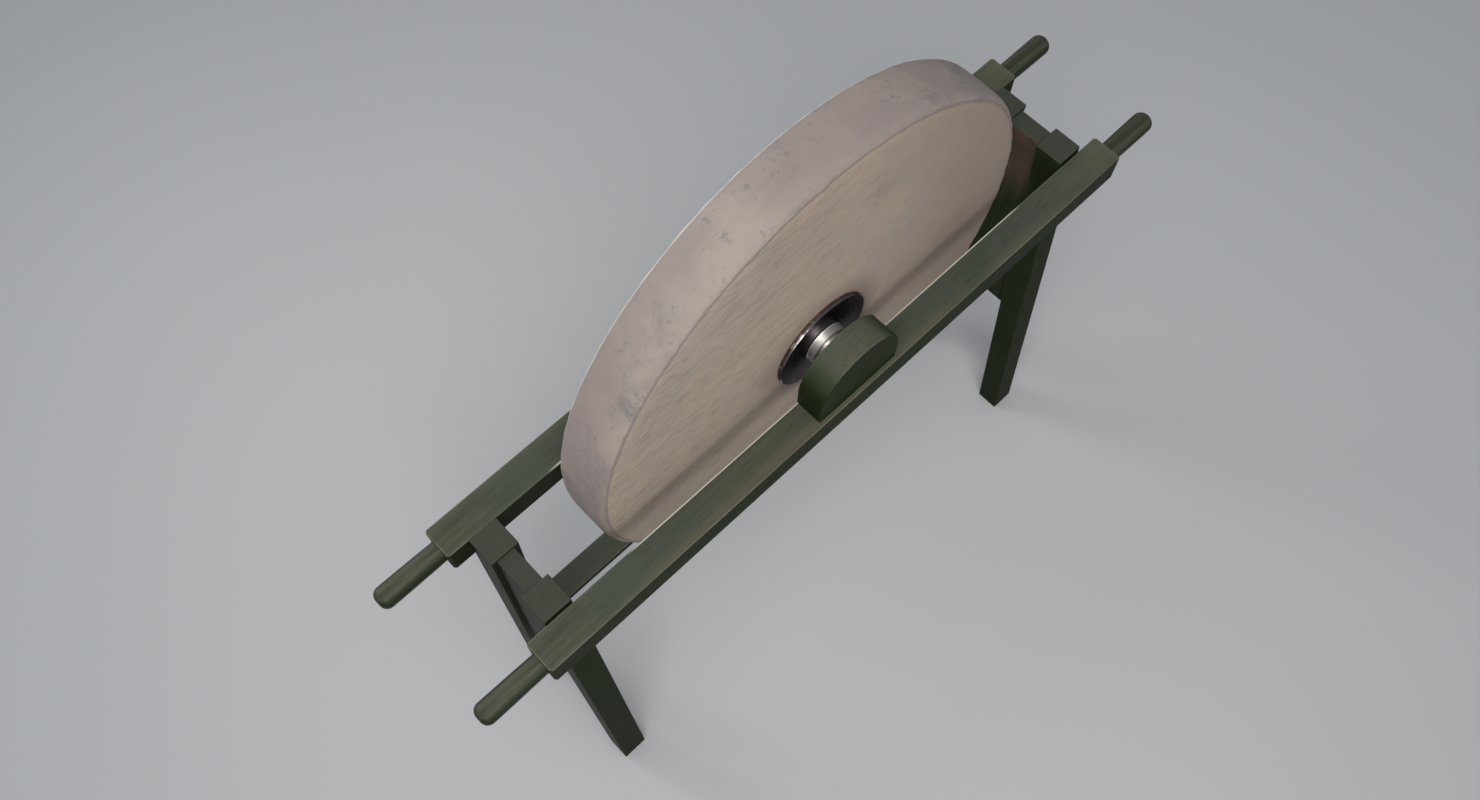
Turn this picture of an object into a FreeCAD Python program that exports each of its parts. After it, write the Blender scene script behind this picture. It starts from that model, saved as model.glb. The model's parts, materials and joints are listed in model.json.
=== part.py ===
"""Hand-cranked wet grindstone on a carrying frame.

Every piece is drawn in the machine's own axes and then stood on the floor. In the machine's axes
X runs along the rails, Y along the axle with the near side at -Y, and Z up from the rails' top face.
Pieces on the axle are drawn with their origin on the axle's line. The finished model's origin is on
the floor, under the middle of the whole machine.
"""

import FreeCAD
import Part
import Sketcher
import os

from FreeCAD import Placement, Rotation, Vector

DIMENSIONS = {
    # frame
    "stand_height": (705, "floor to the rails' top face"),
    "rail_half_length": (500, "middle of the machine to a rail's end"),
    "rail_inner": (70, "centre plane to a rail's inner face"),
    "rail_outer": (115, "centre plane to a rail's outer face"),
    "rail_depth": (46, "depth of a rail"),
    "rail_corner": (3, "chamfer on a rail's upright end corners"),
    "edge_round": (1.5, "rounding of the sawn timber's edges"),
    "handle_radius": (15, "carrying handle"),
    "handle_reach": (92, "rail's end to the handle's tip"),
    "handle_tip_round": (11, "rounding of the handle's tip"),
    "tenon_radius": (9, "handle's tenon"),
    "tenon_length": (40, "depth of the tenon in the rail"),
    # legs and what joins them
    "leg_station": (449, "middle of the machine to a leg's centre, along the rails"),
    "leg_half_width": (20.5, "half of a leg's width along the rails"),
    "leg_rise": (6, "leg top above the rails' top face"),
    "leg_top_inner": (26, "centre plane to the leg's inner face, at its top"),
    "leg_top_outer": (68, "centre plane to the leg's outer face, at its top"),
    "leg_foot_inner": (84.25, "centre plane to the leg's inner face, at the floor"),
    "leg_foot_outer": (121.75, "centre plane to the leg's outer face, at the floor"),
    "board_half_thickness": (13, "half of an end board's thickness"),
    "board_rise": (1, "end board's top above the rails' top face"),
    "board_drop": (400, "end board's bottom edge below the rails' top face"),
    "dowel_radius": (5, "hidden dowels"),
    "dowel_bite": (18, "depth of a dowel in each of its two pieces"),
    "stretcher_drop": (420, "stretcher's top face below the rails' top face"),
    "stretcher_thickness": (13, "stretcher"),
    "stretcher_inner": (61.5, "centre plane to the stretcher's near edge"),
    "stretcher_outer": (100.5, "centre plane to the stretcher's far edge"),
    "stretcher_tenon": (15, "length of the stretcher's tenon in a leg"),
    "tenon_shoulder": (6, "step from the stretcher's edge to its tenon's edge"),
    "peg_radius": (3, "peg through the stretcher's tenon"),
    # bearing blocks
    "axle_height": (40, "axle's line above the rails' top face"),
    "block_outer": (109, "centre plane to a block's outer face"),
    "block_half_length": (67, "half of a block's length, and the radius of its round top"),
    "block_shoulder": (31, "height of a block's upright ends"),
    "block_round": (2.5, "rounding of a block's outer top edge"),
    "bush_radius": (20, "outside of a bush"),
    "near_bush_length": (28, "bush in the blind near block"),
    "thrust_thickness": (4, "thrust pad behind the axle's near end"),
    "running_gap": (0.05, "radial clearance of what turns"),
    "screw_radius": (4, "block screw's shank"),
    "screw_station": (44, "axle's line to a block screw"),
    "screw_bite": (24, "block screw's length inside the block"),
    "screw_sink": (9, "depth of the counterbore under the rail"),
    "screw_sink_radius": (11, "counterbore under the rail"),
    "screw_head_radius": (7.5, "block screw's hexagon head, to its corners"),
    "screw_head_height": (5.5, "block screw's head"),
    # stone
    "stone_radius": (351, "grindstone"),
    "stone_half_width": (38.5, "half of the stone's width"),
    "stone_round": (10, "rounding of the stone's rims"),
    "stone_bore_radius": (28, "hole through the stone"),
    # axle and clamping
    "core_radius": (17, "axle inside the stone"),
    "journal_radius": (15, "axle's near journal and thread"),
    "far_journal_radius": (14, "axle's far journal"),
    "end_gap": (0.4, "axle's near end to the thrust pad"),
    "axle_chamfer": (1, "chamfer on the axle's ends"),
    "flange_radius": (72.5, "clamping flanges"),
    "flange_thickness": (5, "clamping flanges' discs"),
    "hub_radius": (28.5, "near flange's hub"),
    "hub_length": (12, "near flange's hub"),
    "neck_radius": (20.5, "near flange's neck, between its hub and the bearing block"),
    "neck_length": (10, "near flange's neck"),
    "packing_radius": (70, "packing washers"),
    "packing_thickness": (1.5, "packing washers"),
    "nut_washer_radius": (26, "washer under the flange nut"),
    "nut_washer_thickness": (2, "washer under the flange nut"),
    "nut_radius": (26.5, "flange nut, to its corners"),
    "nut_length": (12, "flange nut"),
    "collar_radius": (24, "shaft collar"),
    "collar_length": (10, "shaft collar"),
    "collar_gap": (0.5, "play on either side of the shaft collar"),
    "key_half_width": (4, "drive key"),
    "key_half_length": (30, "drive key"),
    "key_depth": (4, "drive key's depth in the axle"),
    "key_stand": (3, "drive key's height above the axle"),
    "hub_screw_radius": (4, "screw through the near flange's hub"),
    "collar_screw_radius": (3, "screw through the shaft collar"),
    # crank
    "crank_throw": (160, "axle's line to the crank's pin"),
    "boss_radius": (22, "crank's boss"),
    "boss_start": (112, "centre plane to the boss's inner face"),
    "boss_length": (21, "crank's boss"),
    "arm_start": (119, "centre plane to the arm's inner face"),
    "arm_thickness": (12, "crank's arm"),
    "arm_half_width": (14, "crank's arm at the boss"),
    "arm_tip_half_width": (11, "crank's arm at the pin"),
    "eye_radius": (15, "crank's eye around the pin"),
    "square_half": (9.5, "half of the axle's square"),
    "stub_radius": (7, "axle's threaded end"),
    "stub_length": (19, "axle's threaded end"),
    "crank_washer_radius": (15, "washer under the crank nut"),
    "crank_washer_thickness": (2.5, "washer under the crank nut"),
    "crank_nut_radius": (12.7, "crank nut, to its corners"),
    "crank_nut_length": (11, "crank nut"),
    "rivet_radius": (6, "crank pin inside the arm"),
    "pin_radius": (7, "crank pin inside the grip"),
    "pin_head_radius": (11, "crank pin's head"),
    "pin_head_length": (5.5, "crank pin's head"),
    "pin_head_round": (4, "rounding of the crank pin's head"),
    "grip_washer_radius": (12, "washers at the grip's ends"),
    "grip_washer_thickness": (1.5, "washers at the grip's ends"),
    "grip_length": (89.5, "crank grip"),
    "grip_gap": (0.5, "end play of the crank grip"),
    "grip_end_radius": (13.5, "crank grip at its ends"),
    "grip_swell_radius": (170, "curve of the crank grip's barrel"),
}

DOWEL_DROPS_IN_RAIL = (13, 34)
DOWEL_DROPS_IN_BOARD = (60, 200, 340)
NEAR, FAR = -1, 1
LEFT, RIGHT = -1, 1
SIDES = {NEAR: "near", FAR: "far"}
ENDS = {LEFT: "left", RIGHT: "right"}
ALONG_Y = Rotation(Vector(1, 0, 0), -90)
ALONG_X = Rotation(Vector(0, 1, 0), 90)
WEDGE_UP = Rotation(Vector(1, 0, 0), 90)
WEDGE_DOWN = Rotation(Vector(1, 0, 0), -90)
HALF_TURN = Rotation(Vector(0, 0, 1), 180)
DOWNWARD = Rotation(Vector(1, 0, 0), 180)
NO_TURN = Rotation()
EPSILON = 1e-6


class Size:
    """A length that knows both its number and the spreadsheet expression it comes from."""

    def __init__(self, value, text):
        self.value = value
        self.text = text

    @staticmethod
    def of(other):
        return other if isinstance(other, Size) else Size(float(other), f"{float(other)}")

    def combine(self, other, sign, value):
        return Size(value, f"({self.text} {sign} {other.text})")

    def __add__(self, other):
        other = Size.of(other)
        return self.combine(other, "+", self.value + other.value)

    def __radd__(self, other):
        return Size.of(other) + self

    def __sub__(self, other):
        other = Size.of(other)
        return self.combine(other, "-", self.value - other.value)

    def __mul__(self, other):
        other = Size.of(other)
        return self.combine(other, "*", self.value * other.value)

    def __rmul__(self, other):
        return Size.of(other) * self

    def __truediv__(self, other):
        other = Size.of(other)
        return self.combine(other, "/", self.value / other.value)

    def __neg__(self):
        return Size.of(-1) * self


class Sheet:
    """The driving dimensions, read as attributes that are Size objects."""

    def __init__(self, document):
        cells = document.addObject("Spreadsheet::Sheet", "Dimensions")
        for row, (alias, (number, meaning)) in enumerate(DIMENSIONS.items(), start=1):
            cells.set(f"A{row}", meaning)
            cells.set(f"B{row}", str(number))
            cells.setAlias(f"B{row}", alias)
            setattr(self, alias, Size(float(number), f"Dimensions.{alias}"))
        document.recompute()


doc = FreeCAD.newDocument("Grindstone")
dim = Sheet(doc)
finished = []

rail_width = dim.rail_outer - dim.rail_inner
rail_middle = (dim.rail_outer + dim.rail_inner) / 2
leg_span = dim.stand_height + dim.leg_rise
pin_seat = dim.arm_start + dim.arm_thickness
crank_reach = (
    pin_seat + 2 * dim.grip_washer_thickness + dim.grip_length + 2 * dim.grip_gap + dim.pin_head_length
)
box_middle = (crank_reach - dim.leg_foot_outer) / 2


def leg_face(top, foot, drop):
    """Distance from the centre plane to a leg's sloping face, at a drop below the rails' top."""
    return top + (foot - top) * (drop + dim.leg_rise) / leg_span


# ---- helpers that make and bind features ---------------------------------------------------------


def bind(thing, **sizes):
    for name, size in sizes.items():
        size = Size.of(size)
        setattr(thing, name, size.value)
        thing.setExpression(name, size.text)


def place(thing, base=(0, 0, 0), turn=NO_TURN):
    """Puts a feature at a base whose three coordinates are bound to the sheet."""
    base = [Size.of(size) for size in base]
    thing.Placement = Placement(Vector(*[size.value for size in base]), turn)
    for axis, size in zip("xyz", base):
        thing.setExpression(f"Placement.Base.{axis}", size.text)


def finish(thing, label, on_axle=False, base=(0, 0, 0), turn=NO_TURN):
    """Stands a finished sub-part in the model's frame and lists it for writing."""
    base = [Size.of(size) for size in base]
    height = dim.stand_height + dim.axle_height if on_axle else dim.stand_height
    place(thing, (base[0], base[1] - box_middle, base[2] + height), turn)
    thing.Label = label
    finished.append(thing)
    return thing


def new_body(name):
    return doc.addObject("PartDesign::Body", f"{name}_body")


def feature(body, kind, sizes, base=(0, 0, 0), turn=NO_TURN):
    """Adds one PartDesign primitive, such as AdditiveBox or SubtractiveCylinder."""
    made = body.newObject(f"PartDesign::{kind}", kind)
    bind(made, **sizes)
    place(made, base, turn)
    return made


def box(body, length, width, height, base, cut=False):
    kind = "SubtractiveBox" if cut else "AdditiveBox"
    return feature(body, kind, {"Length": length, "Width": width, "Height": height}, base)


def cylinder(body, radius, height, base, turn=NO_TURN, cut=False):
    kind = "SubtractiveCylinder" if cut else "AdditiveCylinder"
    return feature(body, kind, {"Radius": radius, "Height": height}, base, turn)


def hexagon(body, corner_radius, height, base, turn=NO_TURN):
    made = body.newObject("PartDesign::AdditivePrism", "AdditivePrism")
    made.Polygon = 6
    bind(made, Circumradius=corner_radius, Height=height)
    place(made, base, turn)
    return made


def origin_plane(body, role):
    return next(item for item in body.Origin.OriginFeatures if item.Role == role)


def outline(body, role, points, arcs=None):
    """Draws a closed sketch through points, whose coordinates are bound to the sheet.

    arcs maps the number of a side to the radius of the outward arc that replaces its straight line.
    """
    arcs = arcs or {}
    points = [(Size.of(across), Size.of(up)) for across, up in points]
    sketch = body.newObject("Sketcher::SketchObject", "Outline")
    sketch.AttachmentSupport = [(origin_plane(body, role), "")]
    sketch.MapMode = "FlatFace"
    corners = [Vector(across.value, up.value, 0) for across, up in points]
    count = len(corners)
    for side, start in enumerate(corners):
        end = corners[(side + 1) % count]
        if side in arcs:
            sketch.addGeometry(arc_between(start, end, arcs[side].value), False)
        else:
            sketch.addGeometry(Part.LineSegment(start, end), False)
    for side in range(count):
        sketch.addConstraint(Sketcher.Constraint("Coincident", side, 2, (side + 1) % count, 1))
    for side, point in enumerate(points):
        pin_point(sketch, side, point)
    for side, radius in arcs.items():
        held = sketch.addConstraint(Sketcher.Constraint("Radius", side, radius.value))
        sketch.setExpression(f"Constraints[{held}]", radius.text)
    return sketch


def arc_between(start, end, radius):
    """An arc that bulges to the right of the way from start to end."""
    chord = end - start
    middle = (start + end) * 0.5
    right = Vector(chord.y, -chord.x, 0).normalize()
    rise = radius - (radius**2 - (chord.Length / 2) ** 2) ** 0.5
    return Part.Arc(start, middle + right * rise, end)


def pin_point(sketch, side, point):
    """Holds the start of one side at its coordinates, or on an axis where a coordinate is zero."""
    axes = (("DistanceX", -2), ("DistanceY", -1))
    for (kind, axis), size in zip(axes, point):
        if size.value == 0:
            sketch.addConstraint(Sketcher.Constraint("PointOnObject", side, 1, axis))
            continue
        held = sketch.addConstraint(Sketcher.Constraint(kind, side, 1, size.value))
        sketch.setExpression(f"Constraints[{held}]", size.text)


def turned(body, role, points, arcs=None):
    """Turns an outline about its sketch's horizontal axis."""
    made = body.newObject("PartDesign::Revolution", "Turned")
    made.Profile = outline(body, role, points, arcs)
    made.ReferenceAxis = (made.Profile[0], ["H_Axis"])
    made.Angle = 360
    doc.recompute()
    return made


def soften(body, kind, size, test):
    """Rounds or chamfers the edges of a body's tip that pass a test."""
    doc.recompute()
    base = body.Tip
    names = [f"Edge{n}" for n, edge in enumerate(base.Shape.Edges, start=1) if test(edge)]
    made = body.newObject(f"PartDesign::{kind}", kind)
    made.Base = (base, names)
    bind(made, **{"Size" if kind == "Chamfer" else "Radius": size})
    doc.recompute()
    return made


def spread(edge):
    """An edge's extent along X, Y and Z."""
    limits = edge.BoundBox
    return limits.XLength, limits.YLength, limits.ZLength


def upright(edge):
    along, across, up = spread(edge)
    return up > EPSILON and along < EPSILON and across < EPSILON


def level(edge):
    return spread(edge)[2] < EPSILON


def is_circle_at(edge, radius, station):
    """Whether an edge is a circle about the Y axis with this radius, at this station along it."""
    curve = edge.Curve
    return (
        isinstance(curve, Part.Circle)
        and abs(curve.Radius - radius.value) < EPSILON
        and abs(curve.Center.y - station.value) < EPSILON
    )


def ring(name, inner, outer, start, length):
    """A plain ring about the Y axis. Its body's origin is on the ring's axis."""
    body = new_body(name)
    cylinder(body, outer, length, (0, start, 0), ALONG_Y)
    cylinder(body, inner, length, (0, start, 0), ALONG_Y, cut=True)
    return finish(body, name, on_axle=True)


def dowel(name, radius, length, base, turn=ALONG_Y):
    made = doc.addObject("Part::Cylinder", name)
    bind(made, Radius=radius, Height=length)
    place(made, base, turn)
    return made


def group(name, members):
    made = doc.addObject("Part::Compound", f"{name}_group")
    made.Links = members
    return finish(made, name)


# ---- timber frame --------------------------------------------------------------------------------


def leg_wedge(body, side, end, kind="AdditiveWedge"):
    """A leg's tapering, splayed bar, made as a wedge that is stood upright."""
    foot = sorted((-side * dim.leg_foot_inner, -side * dim.leg_foot_outer), key=lambda size: size.value)
    top = sorted((-side * dim.leg_top_inner, -side * dim.leg_top_outer), key=lambda size: size.value)
    left = end * dim.leg_station - dim.leg_half_width
    right = end * dim.leg_station + dim.leg_half_width
    sizes = {
        "Xmin": left, "Xmax": right, "X2min": left, "X2max": right,
        "Ymin": -dim.stand_height, "Ymax": dim.leg_rise,
        "Zmin": foot[0], "Zmax": foot[1], "Z2min": top[0], "Z2max": top[1],
    }  # fmt: skip
    return feature(body, kind, sizes, turn=WEDGE_UP)


def rail_dowel_base(side, end, drop):
    """Where a dowel between a leg and its rail starts, and how long it is."""
    face = leg_face(dim.leg_top_outer, dim.leg_foot_outer, drop)
    start = face - dim.dowel_bite
    length = dim.rail_inner + dim.dowel_bite - start
    base_y = start if side == FAR else -(start + length)
    return (end * dim.leg_station, base_y, Size.of(-drop)), length


def board_dowel_base(side, end, drop):
    """Where a dowel between an end board and a leg starts, and how long it is."""
    face = leg_face(dim.leg_top_inner, dim.leg_foot_inner, drop)
    length = 2 * dim.dowel_bite
    base_y = side * face - dim.dowel_bite
    return (end * dim.leg_station, base_y, Size.of(-drop)), length


def make_rail(side):
    body = new_body(f"{SIDES[side]}_rail")
    length = 2 * dim.rail_half_length
    low_y = -dim.rail_outer if side == NEAR else dim.rail_inner
    box(body, length, rail_width, dim.rail_depth, (-dim.rail_half_length, low_y, -dim.rail_depth))
    soften(body, "Chamfer", dim.rail_corner, upright)
    soften(body, "Fillet", dim.edge_round, level)
    for end in ENDS:
        inset = dim.rail_half_length - dim.tenon_length
        base_x = inset if end == RIGHT else -dim.rail_half_length
        base = (base_x, side * rail_middle, -dim.rail_depth / 2)
        cylinder(body, dim.tenon_radius, dim.tenon_length, base, ALONG_X, cut=True)
        leg_wedge(body, side, end, "SubtractiveWedge")
        for drop in DOWEL_DROPS_IN_RAIL:
            base, length = rail_dowel_base(side, end, drop)
            cylinder(body, dim.dowel_radius, length, base, ALONG_Y, cut=True)
        centre = (end * dim.screw_station, side * screw_line())
        cylinder(body, dim.screw_radius, dim.rail_depth, (*centre, -dim.rail_depth), cut=True)
        cylinder(body, dim.screw_sink_radius, dim.screw_sink, (*centre, -dim.rail_depth), cut=True)
    finish(body, f"{SIDES[side]}_rail")


def screw_line():
    return (dim.block_outer + dim.rail_inner) / 2


def make_handle(side, end):
    name = f"{SIDES[side]}_{ENDS[end]}_handle"
    body = new_body(name)
    tip = dim.handle_reach - dim.handle_tip_round
    crown = dim.handle_radius - dim.handle_tip_round
    points = [
        (-dim.tenon_length, 0), (dim.handle_reach, 0), (dim.handle_reach, crown),
        (tip, dim.handle_radius), (0, dim.handle_radius), (0, dim.tenon_radius),
        (-dim.tenon_length, dim.tenon_radius),
    ]  # fmt: skip
    turned(body, "XZ_Plane", points, {2: dim.handle_tip_round})
    base = (end * dim.rail_half_length, side * rail_middle, -dim.rail_depth / 2)
    finish(body, name, base=base, turn=NO_TURN if end == RIGHT else HALF_TURN)


def make_leg(side, end):
    name = f"{SIDES[side]}_{ENDS[end]}_leg"
    body = new_body(name)
    leg_wedge(body, side, end)
    floor = -dim.stand_height.value
    soften(body, "Fillet", dim.edge_round, lambda edge: edge.BoundBox.ZMax > floor + EPSILON)
    for drop in DOWEL_DROPS_IN_RAIL:
        base, length = rail_dowel_base(side, end, drop)
        cylinder(body, dim.dowel_radius, length, base, ALONG_Y, cut=True)
    for drop in DOWEL_DROPS_IN_BOARD:
        base, length = board_dowel_base(side, end, drop)
        cylinder(body, dim.dowel_radius, length, base, ALONG_Y, cut=True)
    if side == FAR:
        base, sizes = stretcher_tenon(end)
        box(body, *sizes, base, cut=True)
        base, length = peg_base(end)
        cylinder(body, dim.peg_radius, length, base, ALONG_Y, cut=True)
    finish(body, name)


def make_end_board(end):
    name = f"{ENDS[end]}_end_board"
    body = new_body(name)
    foot = leg_face(dim.leg_top_inner, dim.leg_foot_inner, dim.board_drop)
    top = leg_face(dim.leg_top_inner, dim.leg_foot_inner, -dim.board_rise)
    left = end * dim.leg_station - dim.board_half_thickness
    right = end * dim.leg_station + dim.board_half_thickness
    sizes = {
        "Xmin": left, "Xmax": right, "X2min": left, "X2max": right,
        "Ymin": -dim.board_drop, "Ymax": dim.board_rise,
        "Zmin": -foot, "Zmax": foot, "Z2min": -top, "Z2max": top,
    }  # fmt: skip
    feature(body, "AdditiveWedge", sizes, turn=WEDGE_UP)
    soften(body, "Fillet", dim.edge_round, lambda edge: level(edge) and spread(edge)[0] < EPSILON)
    for side in SIDES:
        for drop in DOWEL_DROPS_IN_BOARD:
            base, length = board_dowel_base(side, end, drop)
            cylinder(body, dim.dowel_radius, length, base, ALONG_Y, cut=True)
    finish(body, name)


def make_dowels():
    for end in ENDS:
        to_rail = [
            dowel("LegDowel", dim.dowel_radius, length, base)
            for side in SIDES
            for base, length in (rail_dowel_base(side, end, drop) for drop in DOWEL_DROPS_IN_RAIL)
        ]
        group(f"{ENDS[end]}_leg_dowels", to_rail)
        to_board = [
            dowel("BoardDowel", dim.dowel_radius, length, base)
            for side in SIDES
            for base, length in (board_dowel_base(side, end, drop) for drop in DOWEL_DROPS_IN_BOARD)
        ]
        group(f"{ENDS[end]}_board_dowels", to_board)


def stretcher_shoulder():
    return dim.leg_station - dim.leg_half_width


def stretcher_tenon(end):
    """Base and sizes of the stretcher's tenon at one end."""
    low_x = stretcher_shoulder() if end == RIGHT else -stretcher_shoulder() - dim.stretcher_tenon
    width = dim.stretcher_outer - dim.stretcher_inner - 2 * dim.tenon_shoulder
    bottom = -dim.stretcher_drop - dim.stretcher_thickness
    base = (low_x, dim.stretcher_inner + dim.tenon_shoulder, bottom)
    return base, (dim.stretcher_tenon, width, dim.stretcher_thickness)


def peg_base(end):
    """Where the peg through one tenon starts, and how long it is."""
    station = end * (stretcher_shoulder() + dim.stretcher_tenon / 2)
    middle = -dim.stretcher_drop - dim.stretcher_thickness / 2
    start = dim.stretcher_inner + dim.tenon_shoulder
    face = leg_face(dim.leg_top_outer, dim.leg_foot_outer, dim.stretcher_drop)
    return (station, start, middle), face - start


def make_stretcher():
    body = new_body("far_stretcher")
    width = dim.stretcher_outer - dim.stretcher_inner
    bottom = -dim.stretcher_drop - dim.stretcher_thickness
    base = (-stretcher_shoulder(), dim.stretcher_inner, bottom)
    box(body, 2 * stretcher_shoulder(), width, dim.stretcher_thickness, base)
    for end in ENDS:
        base, sizes = stretcher_tenon(end)
        box(body, *sizes, base)
    for end in ENDS:
        base, length = peg_base(end)
        cylinder(body, dim.peg_radius, length, base, ALONG_Y, cut=True)
    finish(body, "far_stretcher")
    pegs = []
    for end in ENDS:
        base, length = peg_base(end)
        pegs.append(dowel("StretcherPeg", dim.peg_radius, length, base))
    group("stretcher_pegs", pegs)


# ---- bearings ------------------------------------------------------------------------------------


def make_block(side):
    """A half-round block. It is drawn on the near side and turned half round for the far one."""
    name = f"{SIDES[side]}_bearing_block"
    body = new_body(name)
    half = dim.block_half_length
    crown = dim.block_shoulder + half
    points = [(-half, 0), (half, 0), (half, dim.block_shoulder), (0, crown), (-half, dim.block_shoulder)]
    sketch = outline(body, "XZ_Plane", points, {2: half, 3: half})
    pad = body.newObject("PartDesign::Pad", "Pad")
    pad.Profile = sketch
    depth = dim.block_outer - dim.rail_inner
    bind(pad, Length=depth)
    outer = -depth.value

    def is_outer_rim(edge):
        limits = edge.BoundBox
        return limits.YMin < outer + EPSILON and limits.YLength < EPSILON and limits.ZMax > EPSILON

    soften(body, "Fillet", dim.block_round, is_outer_rim)
    if side == NEAR:
        pocket = dim.near_bush_length + dim.thrust_thickness
        cylinder(body, dim.bush_radius, pocket, (0, -pocket, dim.axle_height), ALONG_Y, cut=True)
    else:
        cylinder(body, dim.bush_radius, depth, (0, -depth, dim.axle_height), ALONG_Y, cut=True)
    for end in ENDS:
        base = (end * dim.screw_station, -depth / 2, 0)
        cylinder(body, dim.screw_radius, dim.screw_bite, base, cut=True)
    turn = NO_TURN if side == NEAR else HALF_TURN
    finish(body, name, base=(0, side * dim.rail_inner, 0), turn=turn)


def make_block_screws(side):
    """Two hexagon-headed screws that come up through the rail into the block."""
    name = f"{SIDES[side]}_block_screws"
    screws = []
    top_of_head = -dim.rail_depth + dim.screw_sink
    for end in ENDS:
        body = new_body(f"{name}_{ENDS[end]}")
        base = (end * dim.screw_station, side * screw_line(), top_of_head)
        shank = dim.screw_bite - top_of_head
        cylinder(body, dim.screw_radius, shank, base)
        low = (base[0], base[1], top_of_head - dim.screw_head_height)
        hexagon(body, dim.screw_head_radius, dim.screw_head_height, low)
        screws.append(body)
    group(name, screws)


def make_bushes():
    near_start = -dim.rail_inner - dim.near_bush_length
    inside = dim.journal_radius + dim.running_gap
    ring("near_bush", inside, dim.bush_radius, near_start, dim.near_bush_length)
    inside = dim.far_journal_radius + dim.running_gap
    ring("far_bush", inside, dim.bush_radius, dim.rail_inner, dim.block_outer - dim.rail_inner)
    body = new_body("thrust_pad")
    base = (0, near_start - dim.thrust_thickness, 0)
    cylinder(body, dim.bush_radius, dim.thrust_thickness, base, ALONG_Y)
    finish(body, "thrust_pad", on_axle=True)


# ---- stone, axle and clamping --------------------------------------------------------------------

near_disc = -dim.stone_half_width - dim.packing_thickness
far_disc = dim.stone_half_width + dim.packing_thickness
near_hub_end = near_disc - dim.flange_thickness - dim.hub_length
neck_end = near_hub_end - dim.neck_length
nut_washer_start = far_disc + dim.flange_thickness
nut_start = nut_washer_start + dim.nut_washer_thickness
collar_start = dim.rail_inner - dim.collar_gap - dim.collar_length
square_end = dim.boss_start + dim.boss_length - dim.axle_chamfer


def make_stone():
    body = new_body("grindstone")
    half = dim.stone_half_width
    bevel = dim.stone_radius - dim.stone_round
    points = [
        (-half, dim.stone_bore_radius), (half, dim.stone_bore_radius), (half, bevel),
        (half - dim.stone_round, dim.stone_radius), (dim.stone_round - half, dim.stone_radius),
        (-half, bevel),
    ]  # fmt: skip
    turned(body, "YZ_Plane", points, {2: dim.stone_round, 4: dim.stone_round})
    finish(body, "grindstone", on_axle=True)


def make_axle():
    body = new_body("axle")
    near_end = -dim.rail_inner - dim.near_bush_length + dim.end_gap
    journal = dim.journal_radius
    chamfer = dim.axle_chamfer
    points = [
        (near_end, 0), (dim.boss_start, 0), (dim.boss_start, dim.far_journal_radius),
        (collar_start, dim.far_journal_radius), (collar_start, journal), (dim.stone_half_width, journal),
        (dim.stone_half_width, dim.core_radius), (near_disc, dim.core_radius), (near_disc, journal),
        (near_end + chamfer, journal), (near_end, journal - chamfer),
    ]  # fmt: skip
    turned(body, "YZ_Plane", points)
    side = 2 * dim.square_half
    box(body, side, square_end - dim.boss_start, side, (-dim.square_half, dim.boss_start, -dim.square_half))
    cylinder(body, dim.stub_radius, dim.stub_length, (0, square_end, 0), ALONG_Y)
    stub_tip = square_end + dim.stub_length
    soften(body, "Chamfer", dim.axle_chamfer, lambda edge: is_circle_at(edge, dim.stub_radius, stub_tip))
    base = (-dim.key_half_width, -dim.key_half_length, dim.core_radius - dim.key_depth)
    box(body, 2 * dim.key_half_width, 2 * dim.key_half_length, 2 * dim.key_depth, base, cut=True)
    finish(body, "axle", on_axle=True)


def make_centre_sleeve():
    body = new_body("centre_sleeve")
    half = dim.stone_half_width
    cylinder(body, dim.stone_bore_radius, 2 * half, (0, -half, 0), ALONG_Y)
    cylinder(body, dim.core_radius, 2 * half, (0, -half, 0), ALONG_Y, cut=True)
    height = dim.core_radius + dim.key_stand
    base = (-dim.key_half_width, -dim.key_half_length, 0)
    box(body, 2 * dim.key_half_width, 2 * dim.key_half_length, height, base, cut=True)
    finish(body, "centre_sleeve", on_axle=True)


def make_key():
    body = new_body("drive_key")
    base = (-dim.key_half_width, -dim.key_half_length, dim.core_radius - dim.key_depth)
    box(body, 2 * dim.key_half_width, 2 * dim.key_half_length, dim.key_depth + dim.key_stand, base)
    finish(body, "drive_key", on_axle=True)


def make_near_flange():
    body = new_body("near_flange")
    disc_face = near_disc - dim.flange_thickness
    points = [
        (neck_end, dim.journal_radius), (near_disc, dim.journal_radius),
        (near_disc, dim.flange_radius), (disc_face, dim.flange_radius),
        (disc_face, dim.hub_radius), (near_hub_end, dim.hub_radius),
        (near_hub_end, dim.neck_radius), (neck_end, dim.neck_radius),
    ]  # fmt: skip
    turned(body, "YZ_Plane", points)
    rims = (
        (dim.flange_radius, disc_face), (dim.hub_radius, near_hub_end), (dim.neck_radius, neck_end),
    )  # fmt: skip

    def is_rim(edge):
        return any(is_circle_at(edge, radius, station) for radius, station in rims)

    soften(body, "Chamfer", dim.axle_chamfer, is_rim)
    middle = near_hub_end + dim.hub_length / 2
    base = (0, middle, -dim.journal_radius)
    reach = dim.hub_radius - dim.journal_radius
    cylinder(body, dim.hub_screw_radius, reach, base, DOWNWARD, cut=True)
    finish(body, "near_flange", on_axle=True)
    screw = new_body("hub_screw")
    cylinder(screw, dim.hub_screw_radius, reach, base, DOWNWARD)
    trim_to_shaft(screw, dim.journal_radius)
    finish(screw, "hub_screw", on_axle=True)


def trim_to_shaft(body, radius):
    """Hollows a radial screw's tip to the shaft that it bears on."""
    span = 4 * dim.hub_radius
    cylinder(body, radius, span, (0, -span / 2, 0), ALONG_Y, cut=True)


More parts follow.
